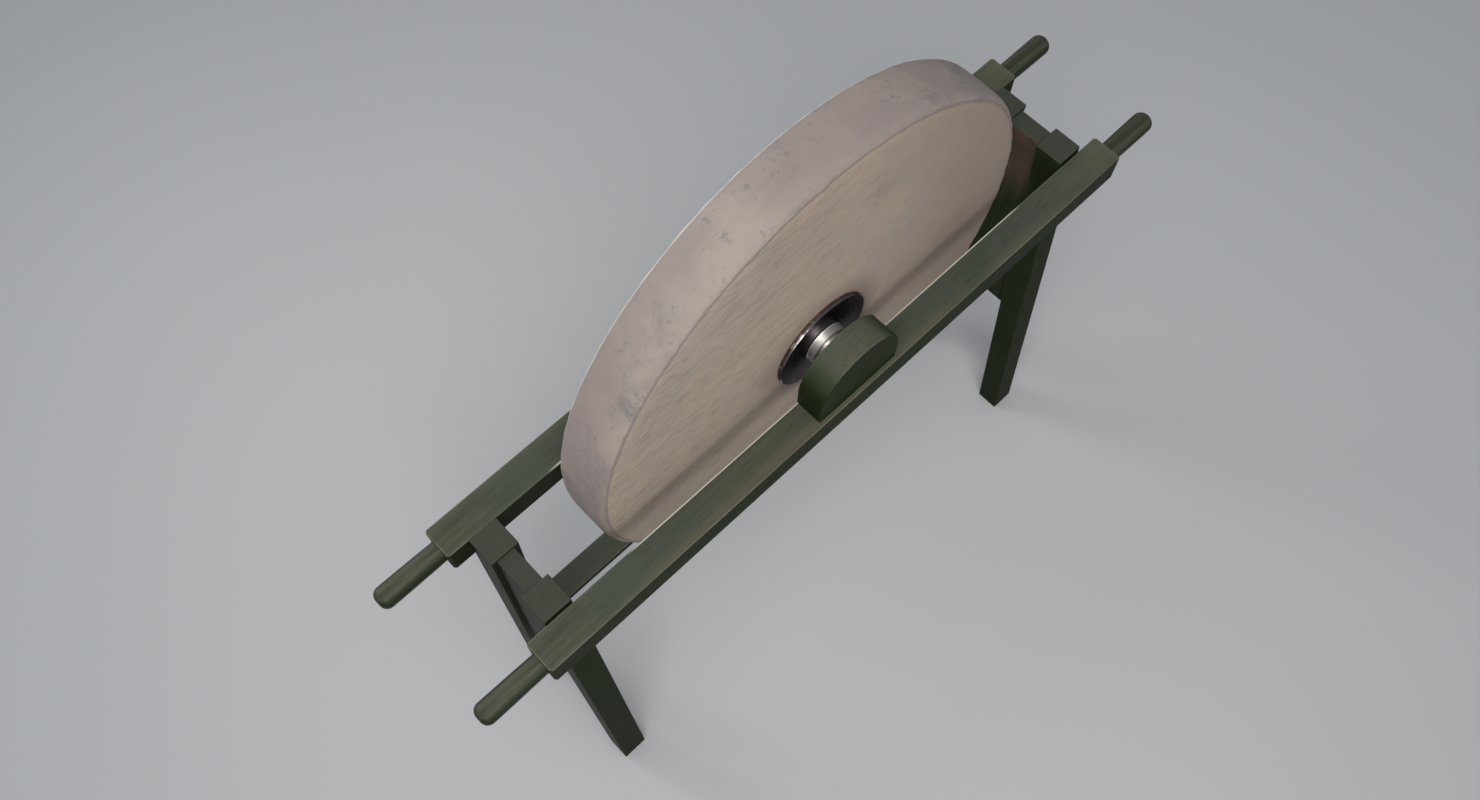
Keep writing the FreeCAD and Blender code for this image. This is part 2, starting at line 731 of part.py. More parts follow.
def make_collar():
    body = new_body("shaft_collar")
    cylinder(body, dim.collar_radius, dim.collar_length, (0, collar_start, 0), ALONG_Y)
    cylinder(body, dim.far_journal_radius, dim.collar_length, (0, collar_start, 0), ALONG_Y, cut=True)
    base = (0, collar_start + dim.collar_length / 2, -dim.far_journal_radius)
    reach = dim.collar_radius - dim.far_journal_radius
    cylinder(body, dim.collar_screw_radius, reach, base, DOWNWARD, cut=True)
    finish(body, "shaft_collar", on_axle=True)
    screw = new_body("collar_screw")
    cylinder(screw, dim.collar_screw_radius, reach, base, DOWNWARD)
    trim_to_shaft(screw, dim.far_journal_radius)
    finish(screw, "collar_screw", on_axle=True)


def make_clamping():
    ring("near_packing_washer", dim.core_radius, dim.packing_radius, near_disc, dim.packing_thickness)
    start = dim.stone_half_width
    ring("far_packing_washer", dim.core_radius, dim.packing_radius, start, dim.packing_thickness)
    ring("far_flange", dim.journal_radius, dim.flange_radius, far_disc, dim.flange_thickness)
    ring(
        "nut_washer", dim.journal_radius, dim.nut_washer_radius, nut_washer_start, dim.nut_washer_thickness
    )
    make_nut("flange_nut", dim.nut_radius, dim.journal_radius, nut_start, dim.nut_length)


def make_nut(name, corner_radius, bore, start, length):
    body = new_body(name)
    hexagon(body, corner_radius, length, (0, start, 0), ALONG_Y)
    cylinder(body, bore, length, (0, start, 0), ALONG_Y, cut=True)
    finish(body, name, on_axle=True)


# ---- crank ---------------------------------------------------------------------------------------


def make_crank_arm():
    body = new_body("crank_arm")
    cylinder(body, dim.boss_radius, dim.boss_length, (0, dim.boss_start, 0), ALONG_Y)
    arm_end = dim.arm_start + dim.arm_thickness
    half, tip = dim.arm_half_width, dim.arm_tip_half_width
    sizes = {
        "Xmin": -half, "Xmax": half, "X2min": -tip, "X2max": tip,
        "Ymin": 0, "Ymax": dim.crank_throw,
        "Zmin": dim.arm_start, "Zmax": arm_end, "Z2min": dim.arm_start, "Z2max": arm_end,
    }  # fmt: skip
    feature(body, "AdditiveWedge", sizes, turn=WEDGE_DOWN)
    cylinder(body, dim.eye_radius, dim.arm_thickness, (0, dim.arm_start, -dim.crank_throw), ALONG_Y)
    side = 2 * dim.square_half
    base = (-dim.square_half, dim.boss_start, -dim.square_half)
    box(body, side, dim.boss_length, side, base, cut=True)
    base = (0, dim.arm_start, -dim.crank_throw)
    cylinder(body, dim.rivet_radius, dim.arm_thickness, base, ALONG_Y, cut=True)
    finish(body, "crank_arm", on_axle=True)


def make_crank_fixing():
    start = dim.boss_start + dim.boss_length
    thickness = dim.crank_washer_thickness
    ring("crank_washer", dim.stub_radius, dim.crank_washer_radius, start, thickness)
    make_nut("crank_nut", dim.crank_nut_radius, dim.stub_radius, start + thickness, dim.crank_nut_length)


def make_crank_pin():
    body = new_body("crank_pin")
    head = crank_reach - dim.pin_head_length
    round_start = crank_reach - dim.pin_head_round
    crown = dim.pin_head_radius - dim.pin_head_round
    points = [
        (dim.arm_start, 0), (crank_reach, 0), (crank_reach, crown), (round_start, dim.pin_head_radius),
        (head, dim.pin_head_radius), (head, dim.pin_radius), (pin_seat, dim.pin_radius),
        (pin_seat, dim.rivet_radius), (dim.arm_start, dim.rivet_radius),
    ]  # fmt: skip
    turned(body, "YZ_Plane", points, {2: dim.pin_head_round})
    finish(body, "crank_pin", on_axle=True, base=(0, 0, -dim.crank_throw))


def make_grip():
    start = pin_seat + dim.grip_washer_thickness + dim.grip_gap
    end = start + dim.grip_length
    inside = dim.pin_radius + dim.running_gap
    body = new_body("crank_grip")
    points = [(start, inside), (end, inside), (end, dim.grip_end_radius), (start, dim.grip_end_radius)]
    turned(body, "YZ_Plane", points, {2: dim.grip_swell_radius})

    def is_end_rim(edge):
        at_start = is_circle_at(edge, dim.grip_end_radius, start)
        return at_start or is_circle_at(edge, dim.grip_end_radius, end)

    soften(body, "Fillet", dim.edge_round, is_end_rim)
    finish(body, "crank_grip", on_axle=True, base=(0, 0, -dim.crank_throw))
    washers = []
    for station in (pin_seat, end + dim.grip_gap):
        washer = new_body("grip_washer")
        thickness = dim.grip_washer_thickness
        base = (0, station, dim.axle_height - dim.crank_throw)
        cylinder(washer, dim.grip_washer_radius, thickness, base, ALONG_Y)
        cylinder(washer, dim.pin_radius, thickness, base, ALONG_Y, cut=True)
        washers.append(washer)
    group("grip_washers", washers)


# ---- the whole machine ---------------------------------------------------------------------------


def build():
    for side in SIDES:
        make_rail(side)
        make_block(side)
        make_block_screws(side)
        for end in ENDS:
            make_handle(side, end)
            make_leg(side, end)
    for end in ENDS:
        make_end_board(end)
    make_dowels()
    make_stretcher()
    make_bushes()
    make_stone()
    make_axle()
    make_centre_sleeve()
    make_key()
    make_near_flange()
    make_clamping()
    make_collar()
    make_crank_arm()
    make_crank_fixing()
    make_crank_pin()
    make_grip()
    doc.recompute()


def check():
    """Stops if any object failed, or any sub-part has no sound solid."""
    failed = [item.Label for item in doc.Objects if {"Invalid", "Error"} & set(item.State)]
    if failed:
        raise SystemExit(f"failed objects: {failed}")
    for item in finished:
        shape = item.Shape
        if shape.isNull() or not shape.isValid() or not shape.Solids or shape.Volume <= 0:
            raise SystemExit(f"unsound shape: {item.Label}")


def write():
    os.makedirs("parts", exist_ok=True)
    for item in finished:
        item.Shape.exportStep(f"parts/{item.Label}.step")
        print(f"{item.Label}: {len(item.Shape.Solids)} solid(s), {item.Shape.Volume / 1000:.1f} cm3")


build()
check()
write()
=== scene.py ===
"""Finished surfaces and turned pieces for a hand-cranked wet grindstone on a carrying frame.

The script loads the working model and dresses it: every piece of timber, stone, metal and leather gets a
procedural material, and the pieces that are turned, forged or dressed by hand are modelled again in full.
X runs along the rails, Y along the axle towards the crank, and Z up from the floor.
"""

import json
from math import cos, hypot, pi, radians, sin
from types import SimpleNamespace

import bmesh
import bpy
from bpy.props import FloatProperty, FloatVectorProperty, IntProperty, PointerProperty
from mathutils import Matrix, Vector


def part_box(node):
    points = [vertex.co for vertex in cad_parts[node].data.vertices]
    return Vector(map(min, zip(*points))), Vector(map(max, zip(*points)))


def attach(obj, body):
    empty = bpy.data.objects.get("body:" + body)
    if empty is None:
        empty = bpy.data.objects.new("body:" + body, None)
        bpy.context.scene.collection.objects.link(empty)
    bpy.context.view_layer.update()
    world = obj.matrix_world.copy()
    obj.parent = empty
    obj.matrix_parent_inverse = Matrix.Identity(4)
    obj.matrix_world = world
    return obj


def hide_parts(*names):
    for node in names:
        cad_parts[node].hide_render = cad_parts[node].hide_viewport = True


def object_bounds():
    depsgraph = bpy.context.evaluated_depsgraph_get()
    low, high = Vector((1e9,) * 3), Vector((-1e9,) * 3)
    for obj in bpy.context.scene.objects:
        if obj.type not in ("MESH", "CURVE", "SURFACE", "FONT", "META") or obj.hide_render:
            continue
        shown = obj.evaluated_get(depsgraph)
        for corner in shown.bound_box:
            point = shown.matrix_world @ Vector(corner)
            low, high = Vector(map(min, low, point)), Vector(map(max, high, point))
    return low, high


bl_info = {
    "name": "Wet Grindstone",
    "version": (1, 0, 0),
    "blender": (4, 5, 0),
    "location": "3D View > Sidebar > Grindstone",
    "description": "Dresses a hand-cranked wet grindstone and models its turned and forged pieces",
    "category": "Object",
}

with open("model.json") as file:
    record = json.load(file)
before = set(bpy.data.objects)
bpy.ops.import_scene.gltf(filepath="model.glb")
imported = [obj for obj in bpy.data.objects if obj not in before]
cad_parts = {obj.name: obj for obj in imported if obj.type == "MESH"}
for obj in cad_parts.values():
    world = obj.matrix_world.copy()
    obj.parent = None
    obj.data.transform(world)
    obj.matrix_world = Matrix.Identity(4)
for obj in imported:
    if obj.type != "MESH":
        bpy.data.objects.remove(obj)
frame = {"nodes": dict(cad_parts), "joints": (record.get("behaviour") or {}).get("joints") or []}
CAD_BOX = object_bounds()
NODES = frame["nodes"]
JOINTS = {joint["name"]: joint for joint in frame["joints"]}
AXLE = Vector(JOINTS["axle_spin"]["pos_m"])
PIN = Vector(JOINTS["grip_spin"]["pos_m"])
STAND_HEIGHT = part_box("near_rail")[1].z

SIDES = ("near", "far")
ENDS = ("left", "right")
TOWARDS_FAR = (-pi / 2, 0, 0)
TOWARDS_NEAR = (pi / 2, 0, 0)
MILLIMETRE = 0.001
WELD = 0.00001
LEG_FOOT_WIDTH = 0.0375
LEG_TOP_WIDTH = 0.042


def colour(label, description, default):
    """A colour that a user may change."""
    return FloatVectorProperty(
        name=label, description=description, default=default, subtype="COLOR", size=3, min=0, max=1
    )


def length(label, description, default):
    """A length that a user may change."""
    return FloatProperty(name=label, description=description, default=default, min=0, unit="LENGTH")


def share(label, description, default):
    """A number from 0 to 1 that a user may change."""
    return FloatProperty(
        name=label, description=description, default=default, min=0, max=1, subtype="FACTOR"
    )


def angle(label, description, degrees):
    """An angle that a user may change."""
    return FloatProperty(name=label, description=description, default=radians(degrees), unit="ROTATION")


def power(label, description, default):
    """The power of a lamp, in watts."""
    return FloatProperty(name=label, description=description, default=default, min=0, unit="POWER")


class TimberSettings(bpy.types.PropertyGroup):
    """Colours and wear of the stained timber."""

    # The deep stain lies in the grain, and also serves as painted shade on upright faces and under the
    # handles.
    deep: colour("Deep stain", "Stain lying in the grain", (0.014, 0.020, 0.008))
    stain: colour("Stain", "Stain on the flat of the wood", (0.060, 0.069, 0.046))
    green: colour("Fresh stain", "Stain that was never rubbed", (0.028, 0.052, 0.020))
    # Painted light: the bleached stain lightens the upper faces as light from above would.
    bleached: colour("Bleached stain", "Stain bleached by sun and water on top", (0.112, 0.117, 0.088))
    # The worn colour is wear, and on the handles' upper side also a painted highlight.
    worn: colour("Worn", "Stain rubbed thin along the grain", (0.165, 0.148, 0.104))
    # The rubbed edge colour is partly wear and partly a painted highlight along the edges, stronger on upper
    # edges.
    rubbed_and_glint: colour("Rubbed edge", "Edges rubbed to pale wood", (0.330, 0.310, 0.240))
    # A painted highlight: the pale line along each rail's inner top edge beside the stone.
    rail_edge_highlight_and_wear: colour("Bare edge", "Edge beside the stone, rubbed bare by blades", (0.780, 0.740, 0.620))
    brown: colour("Bare streaks", "Wood showing through streaks in the stain", (0.112, 0.074, 0.058))
    painted_cool_sheen: colour("Cool stain", "Blue-green bloom on the stain", (0.072, 0.086, 0.074))
    # Painted sheen: the cool stain is a blue-green reflection painted on upper faces.
    end_grain: colour("End grain", "Stain soaked into the legs' sawn tops", (0.054, 0.059, 0.047))
    plain: colour("Plain wood", "Unfinished hardwood of dowels and sleeve", (0.50, 0.34, 0.19))
    oiled: colour("Oiled wood", "Oiled hardwood of the crank's grip", (0.23, 0.105, 0.045))
    band: length("Grain band", "Width of the grain's bands", 0.011)
    fibre: length("Fibre", "Width of a single fibre's line", 0.0011)
    wear: length("Edge wear", "Width of the worn strip along the edges", 0.0024)
    gloss: share("Roughness", "Roughness of the stained surface", 0.40)
    gleam: share("Gleam", "Specular level of the sawn faces", 0.012)
    handle_gleam: share("Handle gleam", "Specular level of the handles, polished by hands", 0.12)


class HandleSettings(bpy.types.PropertyGroup):
    """Sizes of the four carrying handles."""

    root: length("Root radius", "Radius where the handle leaves the rail", 0.0143)
    tenon: length("Tenon radius", "Radius of the tenon inside the rail", 0.0089)
    tip_round: length("Tip rounding", "Rounding of the handle's tip", 0.011)
    steps: IntProperty(name="Steps", description="Divisions round a turned piece", default=96, min=12)


class StoneSettings(bpy.types.PropertyGroup):
    """Shape and colours of the grindstone."""

    rim: colour("Rim", "Dressed rim", (0.325, 0.264, 0.240))
    lilac: colour("Cool clouds", "Cool grey clouds on the rim", (0.255, 0.214, 0.208))
    face: colour("Face", "Sawn face", (0.405, 0.332, 0.266))
    tan: colour("Warm clouds", "Warm clouds on the faces", (0.455, 0.352, 0.270))
    pale: colour("Pale grit", "Pale clouds in the stone", (0.450, 0.380, 0.335))
    blotch: colour("Blotch", "Grey stains on the rim", (0.215, 0.198, 0.190))
    # The streak colour also serves as painted shade, darkening the faces towards +X.
    streak_and_shade: colour("Streak", "Bedding streaks on the faces", (0.262, 0.200, 0.166))
    crease: colour("Crease", "Dirt where the rim meets a face", (0.185, 0.158, 0.150))
    # A painted highlight: a pale line round the far face's rim, where a rim light catches the rounded edge.
    far_rim_highlight: colour("Worn edge", "Freshly worn edge on the far side", (0.760, 0.700, 0.640))
    round: length("Rim rounding", "Rounding of the rims", 0.010)
    steps: IntProperty(name="Steps", description="Divisions round the stone", default=320, min=24)
    waviness: length("Waviness", "Unevenness of the dressed surfaces", 0.0008)
    chips: length("Chips", "Depth of the chips along the rims", 0.0016)


class MetalSettings(bpy.types.PropertyGroup):
    """Colours and sizes of the metal pieces."""

    dark: colour("Dark steel", "Darkly polished flanges", (0.185, 0.160, 0.170))
    bright: colour("Bright steel", "Hub and axle", (0.930, 0.905, 0.870))
    plain: colour("Plain steel", "Oiled nuts, screws and washers", (0.330, 0.325, 0.315))
    rust: colour("Rust", "Rust in corners of plain steel", (0.130, 0.052, 0.022))
    forged: colour("Forged iron", "Scale on the crank", (0.038, 0.037, 0.038))
    bronze: colour("Bronze", "Bearing bronze", (0.560, 0.330, 0.130))
    hide: colour("Leather", "Packing washers", (0.130, 0.062, 0.030))
    chamfer: length("Chamfer", "Chamfer on turned edges", 0.0009)
    disc: length("Flange disc", "Thickness of the clamping flanges", 0.005)
    hub: length("Hub radius", "Radius of the near flange's hub", 0.0285)
    neck: length("Neck radius", "Radius of the neck behind the hub", 0.0205)
    neck_length: length("Neck length", "Length of the neck behind the hub", 0.010)
    shaft: length("Shaft radius", "Radius of the bores that fit the shaft", 0.01505)
    thread: length("Thread pitch", "Pitch of the axle's end thread", 0.0015)


class StageSettings(bpy.types.PropertyGroup):
    """Floor, lights and camera."""

    azimuth: angle("Azimuth", "Direction of the view, round the machine", -43.8)
    elevation: angle("Elevation", "Height of the view above the horizon", 65.8)
    distance: length("Distance", "Camera to the point it looks at", 1.5765)
    lens: FloatProperty(
        name="Lens", description="Focal length in millimetres", default=31.28, min=1, unit="CAMERA"
    )
    aim: FloatVectorProperty(
        name="Aim", description="Point that the camera looks at",
        default=(-0.1155, -0.0736, STAND_HEIGHT), size=3, subtype="TRANSLATION",
    )
    floor: colour("Floor", "Plain floor", (0.56, 0.57, 0.58))
    key: power("Key light", "Light overhead", 47)
    top: power("Top light", "Light over the far side", 7)
    rim: power("Rim light", "Light behind the stone", 3.9)
    front: power("Front light", "Low light in front", 2.1)
    sky: share("Sky", "Strength of the light from all round", 0.34)


class GrindstoneSettings(bpy.types.PropertyGroup):
    """Everything a user may change."""

    timber: PointerProperty(type=TimberSettings)
    handle: PointerProperty(type=HandleSettings)
    stone: PointerProperty(type=StoneSettings)
    metal: PointerProperty(type=MetalSettings)
    stage: PointerProperty(type=StageSettings)


# Shader maths


class Value:
    """A socket of a material. Sums on it add Math nodes to that material."""

    def __init__(self, finish, socket):
        self.finish = finish
        self.socket = socket

    def __add__(self, other):
        return self.finish.math("ADD", self, other)

    def __radd__(self, other):
        return self.finish.math("ADD", other, self)

    def __sub__(self, other):
        return self.finish.math("SUBTRACT", self, other)

    def __rsub__(self, other):
        return self.finish.math("SUBTRACT", other, self)

    def __mul__(self, other):
        return self.finish.math("MULTIPLY", self, other)

    def __rmul__(self, other):
        return self.finish.math("MULTIPLY", other, self)

    def __abs__(self):
        return self.finish.math("ABSOLUTE", self)

    def step(self, low, high):
        """0 below low and 1 above high, with a smooth step between. A high under low turns it round."""
        settings = {"interpolation_type": "SMOOTHSTEP"}
        return self.finish.node("ShaderNodeMapRange", settings, {0: self, 1: low, 2: high, 3: 0.0, 4: 1.0})


class Finish:
    """One procedural material while it is put together."""

    def __init__(self, name):
        self.material = bpy.data.materials.new(name)
        self.material.use_nodes = True
        self.tree = self.material.node_tree
        self.tree.nodes.clear()

    def node(self, kind, settings=None, inputs=None, out=0):
        """Adds a node, sets it up, fills its sockets with values or links, and gives its outputs."""
        made = self.tree.nodes.new(kind)
        for key, value in (settings or {}).items():
            setattr(made, key, value)
        for key, value in (inputs or {}).items():
            if isinstance(value, Value):
                self.tree.links.new(value.socket, made.inputs[key])
            else:
                made.inputs[key].default_value = value
        if isinstance(out, tuple):
            return [Value(self, made.outputs[which]) for which in out]
        return Value(self, made.outputs[out]) if made.outputs else None

    def math(self, operation, *numbers):
        return self.node("ShaderNodeMath", {"operation": operation}, dict(enumerate(numbers)))

    def lowest(self, a, b):
        return self.math("MINIMUM", a, b)

    def highest(self, a, b):
        return self.math("MAXIMUM", a, b)

    def middle(self, a, b, c):
        """The middle one of three numbers."""
        return self.highest(self.lowest(a, b), self.lowest(self.highest(a, b), c))

    def distance(self, a, b):
        """Length of the hypotenuse over a and b."""
        return self.math("SQRT", a * a + b * b)

    def place(self):
        """The piece's own X, Y and Z."""
        coordinates = self.node("ShaderNodeTexCoord", out=3)
        return self.node("ShaderNodeSeparateXYZ", inputs={0: coordinates}, out=(0, 1, 2))

    def upward(self):
        """How far the surface faces up, from -1 to 1, on the piece at rest."""
        normal = self.node("ShaderNodeTexCoord", out=1)
        return self.node("ShaderNodeSeparateXYZ", inputs={0: normal}, out=2)

    def vector(self, place, scale, shift=0):
        """Three numbers as one vector, each times its scale. shift is added to the first."""
        scales = scale if isinstance(scale, tuple) else (scale,) * 3
        x, y, z = (number if factor == 1 else number * factor for number, factor in zip(place, scales))
        return self.node("ShaderNodeCombineXYZ", inputs={0: x + shift if shift else x, 1: y, 2: z})

    def noise(self, place, scale=1, shift=0, detail=2.0, roughness=0.5, distortion=0.0):
        """Soft noise with one bump in each unit of the scaled place."""
        where = self.vector(place, scale, shift)
        inputs = {"Vector": where, "Scale": 1.0, "Detail": detail, "Roughness": roughness}
        return self.node("ShaderNodeTexNoise", inputs={**inputs, "Distortion": distortion})

    def cells(self, place, scale=1, feature="F1"):
        """Distance to the nearest of the scattered points, one point in each unit of the scaled place."""
        inputs = {"Vector": self.vector(place, scale), "Scale": 1.0}
        return self.node("ShaderNodeTexVoronoi", {"feature": feature}, inputs)

    def blend(self, base, *layers):
        """Lays colours over a base, one after another. A layer is its share and its colour."""
        for factor, tint in layers:
            base, tint = (c if isinstance(c, Value) else (*c, 1.0) for c in (base, tint))
            base = self.node("ShaderNodeMix", {"data_type": "RGBA"}, {0: factor, 6: base, 7: tint}, out=2)
        return base

    def shade(self, base, roughness, metallic=0.0, height=None, relief=0.0005, gleam=0.5, glance=1.0):
        """Ends the material in a shader.

        Height is in units of relief, gleam is the specular level, and glance the share of the reflection
        that is kept where the surface is seen at a low angle."""
        inputs = {"Base Color": base if isinstance(base, Value) else (*base, 1.0)}
        inputs.update({"Roughness": roughness, "Metallic": metallic, "Specular IOR Level": gleam})
        inputs["Specular Tint"] = (glance, glance, glance, 1.0)
        if height is not None:
            bump = {"Strength": 1.0, "Distance": relief, "Height": height}
            inputs["Normal"] = self.node("ShaderNodeBump", inputs=bump)
        shader = self.node("ShaderNodeBsdfPrincipled", inputs=inputs)
        self.node("ShaderNodeOutputMaterial", inputs={"Surface": shader})
        return self.material


def darker(tint, share_left):
    """A colour with a share of its light left."""
    return tuple(channel * share_left for channel in tint)


# Materials


def stained_wood(name, grain_place, timber, tone=0.10, bleach=0.8, edge_wear=1.0, gleam=None, marks=None):
    """Dark olive stain over open-grained wood.

    grain_place(finish) gives the place along the grain, the two places across it, and the distance to the
    nearest edge. tone is the share of its colour kept on upright faces under a painted shade, bleach the
    share of painted top light laid on upper faces, which also scales the worn patches there, and edge_wear
    the share of rubbing on the edges, which also paints a highlight along them.
    marks(finish, grain) gives the layers of colour that only this piece has."""
    finish = Finish(name)
    along, across, through, edge = grain_place(finish)
    straight = (along, across, through)
    wander = finish.noise(straight, (5, 9, 9))
    bent = (along, across + (wander - 0.5) * 0.020, through)
    bands = finish.noise(bent, (3.2, 1 / timber.band, 1 / timber.band), detail=4)
    fibres = finish.noise(bent, (26, 1 / timber.fibre, 1 / timber.fibre))
    clouds = finish.noise(straight, (7, 13, 13), detail=4, roughness=0.6)
    patches = finish.noise(straight, (2.6, 8, 8), 7, detail=3, distortion=0.6)
    sheen_patches = finish.noise(straight, (1.9, 5, 5), -3)

    top = finish.upward().step(0.25, 0.85)
    ragged = edge + (clouds - 0.5) * 0.0045 + (fibres - 0.5) * 0.0016
    # Edge mask for rubbing, which also carries the painted edge highlight.
    worn = ragged.step(timber.wear, 0.0) * wander.step(0.24, 0.50)
    grain = SimpleNamespace(straight=straight, bent=bent, clouds=clouds, top=top)
    base = finish.blend(
        timber.deep,
        (bands.step(0.24, 0.66), timber.stain),
        # Painted light: upper faces lightened with the bleached stain.
        (top * (0.42 + clouds * 0.48) * bleach, timber.bleached),
        (clouds.step(0.50, 0.74) * 0.34, timber.green),
        (patches.step(0.54, 0.76) * (0.10 + top * 0.54 * bleach), timber.worn),
        # Painted sheen: blue-green patches on upper faces.
        (sheen_patches.step(0.46, 0.64) * top * 0.50, timber.painted_cool_sheen),
        (fibres.step(0.50, 0.30) * 0.34, timber.deep),
        # Painted shade: upright and lower faces darkened with the deep stain.
        ((1.0 - top) * (1.0 - tone), timber.deep),
        # Rubbed edges: partly wear, partly a painted edge highlight, stronger on upper edges.
        (worn * (0.10 + top * 0.30) * edge_wear, timber.rubbed_and_glint),
        *(marks(finish, grain) if marks else ()),
    )
    gloss = timber.gloss + (fibres - 0.5) * 0.24 + worn * 0.06
    height = bands * 0.35 + fibres * 0.45 + clouds * 0.5
    return finish.shade(base, gloss, height=height, gleam=gleam or timber.gleam)


def plain_wood(name, tint, roughness, centre, along_axle=False):
    """Clean hardwood with its grain along X, or along the axle."""
    finish = Finish(name)
    x, y, z = finish.place()
    if along_axle:
        grain = (y, x - centre.x, z - centre.z)
    else:
        grain = (x, y - centre.y, z - centre.z)
    along, across, through = grain
    rings = finish.distance(across + 0.021, through - 0.013)
    wander = finish.noise(grain, (9, 20, 20))
    bands = finish.noise((along * 6, rings * 420 + wander * 4, 0.0), detail=3)
    pores = finish.noise(grain, (60, 1100, 1100))
    dark = darker(tint, 0.42)
    base = finish.blend(dark, (bands.step(0.34, 0.66), tint), (pores.step(0.46, 0.30) * 0.55, dark))
    rough = roughness + (pores - 0.5) * 0.2
    return finish.shade(base, rough, height=bands * 0.4 + pores * 0.6, relief=0.00025)


def gritstone(stone):
    """Sandstone with a dressed rim, streaked sawn faces, and dirt in the crease between them, with painted
    shade towards +X on the faces and a painted highlight line round the far face's rim.
    """
    finish = Finish("gritstone")
    x, y, z = finish.place()
    low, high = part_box("grindstone")
    radius = high.z - AXLE.z
    half_width = (high.y - low.y) / 2
    rise = z - AXLE.z
    side = y - (low.y + high.y) / 2
    spot = (x, side, rise)
    out = finish.distance(x, rise)
    on_rim = out.step(radius - stone.round * 0.95, radius - stone.round * 0.55)
    on_rim = on_rim * abs(side).step(half_width - 0.0002, half_width - 0.0016)

    broad = finish.noise(spot, (5, 9, 5), detail=4, roughness=0.55)
    clouds = finish.noise(spot, (14, 18, 14), 3, detail=5, roughness=0.65, distortion=0.7)
    warm = finish.noise(spot, (7, 9, 11), -5, detail=4, roughness=0.6, distortion=0.4)
    mottle = finish.noise(spot, 60, detail=4, roughness=0.6)
    grit = finish.noise(spot, 950)
    pits = finish.cells(spot, 210)
    beds = finish.noise(spot, (17, 30, 92), detail=5, roughness=0.62, distortion=0.4)
    fine_beds = finish.noise(spot, (46, 60, 360), detail=3)
    tooling = finish.noise(spot, (40, 620, 40))
    spots = finish.noise(spot, 150, detail=3, roughness=0.6)
    bent = (x * 17 + mottle * 0.6, side * 17 + broad * 0.8, rise * 17)
    cracks = finish.cells(bent, feature="DISTANCE_TO_EDGE")

    stained = clouds.step(0.53, 0.68) * mottle.step(0.30, 0.60)
    cracked = cracks.step(0.016, 0.0) * clouds.step(0.53, 0.60)
    spotted = spots.step(0.56, 0.66) * clouds.step(0.44, 0.56)
    rim = finish.blend(
        stone.rim,
        (broad.step(0.42, 0.64) * 0.45, stone.pale),
        (warm.step(0.40, 0.62) * 0.55, stone.lilac),
        (stained * 0.85, stone.blotch),
        (tooling.step(0.62, 0.74) * 0.10, stone.blotch),
        (cracked * 0.60, stone.crease),
        (spotted * 0.85, stone.blotch),
    )

    weathered = (x - rise * 0.25 + (broad - 0.5) * 0.30).step(0.12, -0.26)
    spotted = spots.step(0.64, 0.72) * warm.step(0.56, 0.44)
    # Painted shade: the faces darken towards +X, tilted a little with height.
    shaded = (x + rise * 0.2 + (broad - 0.5) * 0.20).step(0.06, 0.32)
    oily = (out + (mottle - 0.5) * 0.03).step(0.112, 0.074)
    face = finish.blend(
        stone.face,
        (warm.step(0.36, 0.66) * 0.85, stone.tan),
        (broad.step(0.46, 0.64) * 0.50, stone.pale),
        (beds.step(0.50, 0.74) * (0.22 + weathered * 0.34), stone.streak_and_shade),
        (fine_beds.step(0.50, 0.68) * (0.16 + weathered * 0.42), stone.streak_and_shade),
        (clouds.step(0.55, 0.74) * 0.46, stone.streak_and_shade),
        (spotted * 0.50, stone.blotch),
        (shaded * 0.68, stone.streak_and_shade),
        (oily * 0.50, stone.streak_and_shade),
    )

    crease = abs(out + (mottle - 0.5) * 0.004 - (radius - stone.round * 0.93)).step(0.0032, 0.0004)
    # Painted highlight: a pale ring just inside the far face's rounded edge.
    past_rim = out.step(radius - 0.011, radius - 0.008)
    far_rim_highlight = past_rim * abs(side).step(half_width - 0.0060, half_width - 0.0022)
    base = finish.blend(
        face,
        (on_rim, rim),
        (crease * 0.72, stone.crease),
        (far_rim_highlight * side.step(-0.01, 0.01) * 0.92, stone.far_rim_highlight),
        (grit.step(0.40, 0.30) * 0.25, stone.blotch),
        (pits.step(0.20, 0.05) * 0.22, stone.blotch),
    )
    rough = 0.80 + (mottle - 0.5) * 0.22 - clouds.step(0.55, 0.72) * 0.10
    height = mottle * 0.55 + grit * 0.30 + pits.step(0.0, 0.22) * 0.28
    height = height + beds * (1.0 - on_rim) * 0.40 + tooling * on_rim * 0.16 - cracked * 0.20
    return finish.shade(base, rough, height=height, relief=0.0011)


def turned_metal(name, tint, roughness, smudge=0.10, dirt=0.55, glint_from=None, glance=1.0):
    """Metal with the fine rings that a lathe leaves round the axle's line.

    dirt is the share that smears darken, glint_from the radius beyond which pale glints are painted
    on, and glance how much it reflects at a low angle."""
    finish = Finish(name)
    x, y, z = finish.place()
    spot = (x - AXLE.x, y, z - AXLE.z)
    out = finish.distance(spot[0], spot[2])
    rings = finish.noise((out * 2600, y * 2600, 0.0))
    wide = finish.noise((out * 300, y * 300, 4.0))
    smear = finish.noise(spot, 45, detail=4, roughness=0.6)
    spots = finish.noise(spot, 420)
    shadow = darker(tint, 0.50)
    layers = [(smear.step(0.46, 0.78) * dirt, shadow), (spots.step(0.64, 0.72) * dirt * 0.6, shadow)]
    # Painted glints: pale patches round the outer rim, where light would catch the chamfer.
    if glint_from is not None:
        rubbed_and_glint = out.step(glint_from, glint_from + 0.0006) * smear.step(0.52, 0.60)
        layers.append((rubbed_and_glint, (0.70, 0.68, 0.65)))
    rough = roughness + (rings - 0.5) * 0.10 + (smear - 0.5) * smudge * 2
    height = rings * 0.5 + wide * 0.5
    base = finish.blend(tint, *layers)
    return finish.shade(base, rough, metallic=1.0, height=height, relief=0.00002, glance=glance)


